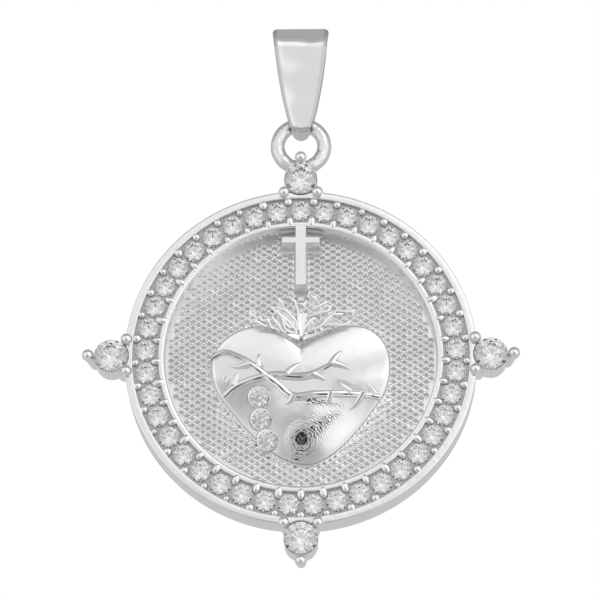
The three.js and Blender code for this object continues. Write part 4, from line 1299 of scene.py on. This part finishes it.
cross_front = RELIEF_BACK - (PLATE_FRONT - FRONT)
cross_body = slab([
    (cross_outline(-CROSS_DRAFT), RELIEF_BACK), (cross_outline(0.0), cross_front + 0.06),
    (cross_outline(0.01), cross_front + 0.02), (cross_outline(0.03), cross_front),
])
pad_top = np.sqrt((FIELD_RADIUS - 2 * SOLDER_GAP) ** 2 - PAD_HALF_WIDTH**2)
pad_outline = np.array([
    [-PAD_HALF_WIDTH, PAD_FOOT], [PAD_HALF_WIDTH, PAD_FOOT],
    [PAD_HALF_WIDTH, pad_top], [-PAD_HALF_WIDTH, pad_top],
])
pad = slab([(rounded(pad_outline, 0.05), RELIEF_BACK), (rounded(pad_outline, 0.05), RELIEF_BACK - 0.12)])
make_piece("latin_cross", joined([cross_body, pad]), satin, "medallion", ["cross"], crisp=28)

# %% [markdown]
# ## Field
#
# The field is covered with small scales in a honeycomb order, cast with the plate. Each leans back inside
# a level lip: the lean mirrors the tent's grey roof, and the lip round its lower half mirrors the white
# front as a bright crescent. The plate's front is tiled with hexagons. A hexagon with a scale has
# rings that rise toward its lower edge, and a plain one is just a fan, and both have the same twelve
# points on their border, so they join without gaps. Tiles at the plate's edge are drawn in to its circle.
# The tiles end in a border loop, which is carried to the back and closed there.

# %% Scaled field
SCALE_COLUMN = 0.38
SCALE_PITCH = 0.478
SCALE_RADIUS = 0.225
SCALE_RISE = 0.105
SCALE_LEVEL = 0.52
SCALE_LEVEL_RISE = 0.92
SCALE_RINGS = np.array([1.0, 0.92, 0.52, 0.0])
SCALE_LIP = np.array([0.0, 1.0, 0.0, 0.0])
SCALE_FOOT = np.array([0.0, 1.0, 1.0, 1.0])
FIELD_BORDER = 0.12


def tile_places():
    """Honeycomb places over the whole plate: every second column is half a step higher."""
    column = np.arange(-26, 27)[:, None]
    row = np.arange(-22, 23)[None, :]
    x = np.broadcast_to(column * SCALE_COLUMN, (53, 45)).ravel()
    z = ((row + 0.5 * (column % 2)) * SCALE_PITCH).ravel()
    near = np.hypot(x, z) < FIELD_RADIUS + SCALE_PITCH / 2
    return np.stack([x, z], axis=1)[near]


def is_scaled(places):
    """Scales stay off the plain border, the cross's pad and foot, and what the heart covers."""
    x, z = places.T
    inside = np.hypot(x, z) < FIELD_RADIUS - FIELD_BORDER - SCALE_RADIUS / 2
    covered = heart_height(x * 1.02, z * 1.02) > 0
    pad_area = (np.abs(x) < PAD_HALF_WIDTH + 0.05) & (z > PAD_FOOT - 0.05)
    foot_area = (np.abs(x) < 0.6) & (z > CROSS_FOOT - 0.45)
    return inside & ~covered & ~pad_area & ~foot_area


def tile_border():
    """The twelve border points of a tile: its six corners and the middles of its sides."""
    slant = SCALE_PITCH**2 / (8 * SCALE_COLUMN)
    wide, narrow = SCALE_COLUMN / 2 + slant, SCALE_COLUMN / 2 - slant
    half = SCALE_PITCH / 2
    corners = np.array([
        [wide, 0], [narrow, half], [-narrow, half], [-wide, 0], [-narrow, -half], [narrow, -half],
    ])
    middles = (corners + np.roll(corners, -1, 0)) / 2
    return np.stack([corners, middles], 1).reshape(-1, 2)


def tiles(places, scaled):
    """Tiles as rings: the border, then the scale's foot, edge, inner ring and middle.

    A scale's inside is a plane that leans back: its height is the rise times one half plus half the way
    down to the level lip. The lip runs round the sides and the lower edge at nearly the full rise, and
    fades out above, where the plane sinks on below the plate's front. The foot lies on the plate. Rise
    and middle vary a little from scale to scale."""
    border = tile_border()
    ahead = unit(border)
    draw = np.random.default_rng(51)
    count = len(places)
    rise = SCALE_RISE * (1 + draw.normal(0, 0.14, count))[:, None, None]
    shift = draw.normal(0, 0.012, (count, 1, 1, 2))
    leaning = 0.5 - 0.5 * ahead[None, :, 1] * SCALE_RINGS[:, None] / SCALE_LEVEL
    lip = SCALE_LIP[:, None] * smooth_step(0.75, 0.3, ahead[None, :, 1])
    height = rise * (leaning + (SCALE_LEVEL_RISE - leaning) * lip) * SCALE_FOOT[:, None]
    rings = SCALE_RADIUS * SCALE_RINGS[:, None, None] * ahead
    rings = rings[None] + shift * (1 - SCALE_RINGS)[None, :, None, None]
    flat = np.concatenate([np.broadcast_to(border, (count, 1, 12, 2)), rings], axis=1)
    lifted = np.concatenate([np.zeros((count, 1, 12)), height], axis=1) * scaled
    spot = flat + places[:, None, None, :]
    out = np.linalg.norm(spot, axis=-1, keepdims=True)
    spot = spot * np.minimum(1, FIELD_RADIUS / np.maximum(out, 1e-9))
    points = np.stack([spot[..., 0], PLATE_FRONT - lifted, spot[..., 1]], axis=-1)
    if not scaled:
        points = points[:, [0, -1]]
    rows = points.shape[1]
    faces = grid_faces(rows, 12, ring_columns=True)
    step = np.arange(count)[:, None, None] * rows * 12
    return points.reshape(-1, 3), [(faces[None] + step).reshape(-1, 4)]


def close_behind(edit):
    """Carries the open border loop of the plate's front to its back and fills it there."""
    bmesh.ops.dissolve_degenerate(edit, edges=edit.edges, dist=SEAM)
    loop = [edge for edge in edit.edges if edge.is_boundary]
    walls = bmesh.ops.extrude_edge_only(edit, edges=loop)["geom"]
    for point in (item for item in walls if isinstance(item, bmesh.types.BMVert)):
        point.co.y = BACK * MM
    rear = [item for item in walls if isinstance(item, bmesh.types.BMEdge)]
    bmesh.ops.holes_fill(edit, edges=rear, sides=0)


places = tile_places()
scaled = is_scaled(places)
make_piece(
    "scaled_field", joined([tiles(places[scaled], True), tiles(places[~scaled], False)]),
    cast_field, "medallion", ["field_plate"], crisp=60, finish=close_behind,
)
print("scales:", int(scaled.sum()), "plain tiles:", int((~scaled).sum()))

# %% [markdown]
# ## Studio
#
# Jewellery is photographed in a light tent: a broad white front and top, grey below and behind, and the
# dark lens itself, which shows as a small dark spot in every bright ball. Polished metal has hardly any
# look of its own, so this tent is most of what the eye sees. One function says how bright the tent is in
# a direction, and both the world and the floor use it, so the floor carries the tent on below. Soft
# patches stand for the lamps behind the cloth: four above, and three low ones at the sides.

# %% The light tent
TENT_FRONT = 0.80
TABLE_GREY = 0.46
TABLE_SIDE = 0.14
ROOF_GREY = 0.42
LENS_DARK = 0.03
SOFT_PATCHES = [
    {"azimuth": 30, "elevation": 30, "reach": 36, "gain": 0.2},
    {"azimuth": -34, "elevation": 36, "reach": 26, "gain": 0.17},
    {"azimuth": 13, "elevation": 25, "reach": 18, "gain": 0.16},
    {"azimuth": -14, "elevation": 26, "reach": 16, "gain": 0.1},
    {"azimuth": 27, "elevation": -9, "reach": 18, "gain": 0.34},
    {"azimuth": 52, "elevation": -12, "reach": 36, "gain": 0.36},
    {"azimuth": -50, "elevation": -10, "reach": 32, "gain": 0.28},
]


def toward(azimuth, elevation):
    """The unit vector of a direction: azimuth from -Y toward +X, elevation up, both in radians."""
    flat = np.cos(elevation)
    return np.array([np.sin(azimuth) * flat, -np.cos(azimuth) * flat, np.sin(elevation)])


to_camera = toward(VIEW_AZIMUTH, VIEW_ELEVATION)


def tent_brightness(tree, direction):
    """How bright the tent is in a direction.

    Elevation and azimuth come from the direction's parts. The front is white between the table and the
    roof, soft at both, and each patch adds light by the cosine of the angle to it. The lens, seen at the
    camera's own direction, multiplies everything by nearly nothing."""
    axes = add_node(tree, "ShaderNodeSeparateXYZ", {"Vector": direction}).outputs
    elevation = add_node(tree, "ShaderNodeMath", {0: axes["Z"]}, operation="ARCSINE").outputs[0]
    ahead = add_node(tree, "ShaderNodeMath", {0: axes["Y"], 1: -1.0}, operation="MULTIPLY").outputs[0]
    azimuth = add_node(tree, "ShaderNodeMath", {0: axes["X"], 1: ahead}, operation="ARCTAN2").outputs[0]
    aside = add_node(tree, "ShaderNodeMath", {0: azimuth}, operation="ABSOLUTE").outputs[0]
    above_table = add_node(tree, "ShaderNodeMapRange", {
        "Value": elevation, "From Min": np.radians(-12), "From Max": np.radians(-4),
    }, interpolation_type="SMOOTHSTEP")
    under_roof = add_node(tree, "ShaderNodeMapRange", {
        "Value": elevation, "From Min": np.radians(42), "From Max": np.radians(35),
    }, interpolation_type="SMOOTHSTEP")
    in_front = add_node(tree, "ShaderNodeMapRange", {
        "Value": aside, "From Min": np.radians(105), "From Max": np.radians(75),
    }, interpolation_type="SMOOTHSTEP")
    band = add_node(tree, "ShaderNodeMath", {
        0: above_table.outputs["Result"], 1: under_roof.outputs["Result"],
    }, operation="MULTIPLY")
    white = add_node(tree, "ShaderNodeMath", {
        0: band.outputs[0], 1: in_front.outputs["Result"],
    }, operation="MULTIPLY")
    table = add_node(tree, "ShaderNodeMapRange", {
        "Value": aside, "From Min": np.radians(8), "From Max": np.radians(50),
        "To Min": TABLE_GREY, "To Max": TABLE_GREY + TABLE_SIDE,
    }, interpolation_type="SMOOTHSTEP")
    is_roof = add_node(tree, "ShaderNodeMapRange", {
        "Value": elevation, "From Min": np.radians(20), "From Max": np.radians(46),
    }, interpolation_type="SMOOTHSTEP")
    surround = add_node(tree, "ShaderNodeMix", {
        "Factor": is_roof.outputs["Result"], "A": table.outputs["Result"], "B": ROOF_GREY,
    })
    bright = add_node(tree, "ShaderNodeMix", {
        "Factor": white.outputs[0], "A": surround.outputs["Result"], "B": TENT_FRONT,
    }).outputs["Result"]
    for patch in SOFT_PATCHES:
        middle_of_patch = toward(np.radians(patch["azimuth"]), np.radians(patch["elevation"]))
        near = add_node(tree, "ShaderNodeVectorMath", {
            0: direction, 1: tuple(middle_of_patch),
        }, operation="DOT_PRODUCT")
        glow = add_node(tree, "ShaderNodeMapRange", {
            "Value": near.outputs["Value"], "From Min": np.cos(np.radians(patch["reach"])),
            "From Max": 1.0, "To Max": patch["gain"],
        }, interpolation_type="SMOOTHSTEP")
        bright = add_node(
            tree, "ShaderNodeMath", {0: bright, 1: glow.outputs["Result"]}, operation="ADD"
        ).outputs[0]
    near_lens = add_node(
        tree, "ShaderNodeVectorMath", {0: direction, 1: tuple(to_camera)}, operation="DOT_PRODUCT"
    )
    lens = add_node(tree, "ShaderNodeMapRange", {
        "Value": near_lens.outputs["Value"], "From Min": np.cos(np.radians(6.5)),
        "From Max": np.cos(np.radians(4)), "To Min": 1.0, "To Max": LENS_DARK,
    }, interpolation_type="SMOOTHSTEP")
    return add_node(
        tree, "ShaderNodeMath", {0: bright, 1: lens.outputs["Result"]}, operation="MULTIPLY"
    ).outputs[0]


def mirror_ray(tree):
    """1 for rays that polished metal or a stone has sent on, 0 for the camera's and the floor's own."""
    path = add_node(tree, "ShaderNodeLightPath", {}).outputs
    return add_node(tree, "ShaderNodeMath", {
        0: path["Is Glossy Ray"], 1: path["Is Transmission Ray"],
    }, operation="MAXIMUM").outputs[0]


world = bpy.data.worlds.new("light_tent")
bpy.context.scene.world = world
world.use_nodes = True
tent = world.node_tree
tent.nodes.clear()
sky = add_node(tent, "ShaderNodeTexCoord", {}).outputs["Generated"]
level = add_node(tent, "ShaderNodeMix", {
    "Factor": mirror_ray(tent), "A": 0.85, "B": tent_brightness(tent, sky),
})
camera_ray = add_node(tent, "ShaderNodeLightPath", {}).outputs["Is Camera Ray"]
shown = add_node(
    tent, "ShaderNodeMath", {0: level.outputs["Result"], 1: camera_ray}, operation="MAXIMUM"
)
light = add_node(tent, "ShaderNodeBackground", {"Color": shown.outputs[0]})
add_node(tent, "ShaderNodeOutputWorld", {"Surface": light.outputs["Background"]})
print("light tent nodes:", len(tent.nodes))

# %% Floor and lamp
FLOOR_DROP = 0.4
FLOOR_REACH = 12.0
middle = Vector((0, 0, DISC_HEIGHT * MM))


def pale_floor():
    """Matt white board: it keeps shadows for the camera, and polished metal sees the tent's table in it.

    The direction from the medallion to a point of the floor is the point minus the middle."""
    material = bpy.data.materials.new("matt_white_board")
    material.use_nodes = True
    tree = material.node_tree
    shader = tree.nodes["Principled BSDF"]
    shader.inputs["Base Color"].default_value = linear("#F7F7F6")
    shader.inputs["Roughness"].default_value = 0.9
    shader.inputs["Specular IOR Level"].default_value = 0.0
    spot = add_node(tree, "ShaderNodeTexCoord", {}).outputs["Object"]
    arm = add_node(tree, "ShaderNodeVectorMath", {0: spot, 1: tuple(middle)}, operation="SUBTRACT")
    direction = add_node(tree, "ShaderNodeVectorMath", {0: arm.outputs[0]}, operation="NORMALIZE")
    glow = add_node(tree, "ShaderNodeEmission", {"Color": tent_brightness(tree, direction.outputs[0])})
    both = add_node(tree, "ShaderNodeMixShader", {
        0: mirror_ray(tree), 1: shader.outputs["BSDF"], 2: glow.outputs["Emission"],
    })
    tree.links.new(both.outputs["Shader"], tree.nodes["Material Output"].inputs["Surface"])
    return material


floor_mesh = bpy.data.meshes.new("floor")
floor_corners = np.array([[-1, -1], [1, -1], [1, 1], [-1, 1]]) * FLOOR_REACH
floor_mesh.from_pydata(np.insert(floor_corners, 2, -FLOOR_DROP, axis=1).tolist(), [], [(0, 1, 2, 3)])
floor_mesh.materials.append(pale_floor())
floor = bpy.data.objects.new("floor", floor_mesh)
bpy.context.scene.collection.objects.link(floor)

lamp_data = bpy.data.lights.new("soft_box", "AREA")
lamp_data.shape = "RECTANGLE"
lamp_data.size, lamp_data.size_y = 0.4, 0.3
lamp_data.energy = 0.2
lamp = bpy.data.objects.new("soft_box", lamp_data)
bpy.context.scene.collection.objects.link(lamp)
lamp.location = (0.3, -0.6, 0.45)
lamp.rotation_euler = (middle - lamp.location).to_track_quat("-Z", "Y").to_euler()

# %% [markdown]
# ## Camera
#
# The camera stands 19 degrees below the medallion's middle, 220 mm away, and looks slightly higher than
# that, so the medallion sits in the lower part of the picture. The lens follows from the scale: one
# pixel of 600 is 0.07 mm at the medallion.

# %% The camera
CAMERA_DISTANCE = 220.0
PIXEL_SIZE = 0.07
PICTURE = 600
SENSOR = 36.0
RAISED = 59.6
ASIDE = -1.0
camera_data = bpy.data.cameras.new("camera")
camera_data.sensor_width = SENSOR
camera_data.lens = CAMERA_DISTANCE / PIXEL_SIZE * SENSOR / PICTURE
camera_data.clip_start, camera_data.clip_end = 0.005, 40.0
camera = bpy.data.objects.new("camera", camera_data)
bpy.context.scene.collection.objects.link(camera)
bpy.context.scene.camera = camera
right = np.array([np.cos(VIEW_AZIMUTH), np.sin(VIEW_AZIMUTH), 0])
up = np.cross(right, -to_camera)
centre = np.array(middle)
aim = centre + MM * PIXEL_SIZE * (RAISED * up + ASIDE * right)
camera.location = centre + to_camera * CAMERA_DISTANCE * MM
forward = Vector(aim) - camera.location
camera.rotation_euler = forward.to_track_quat("-Z", "Y").to_euler()
bpy.context.scene.view_settings.view_transform = "Standard"
print("lens", round(camera_data.lens, 2), "mm")

# %% The end
print("pieces made:", len(made))
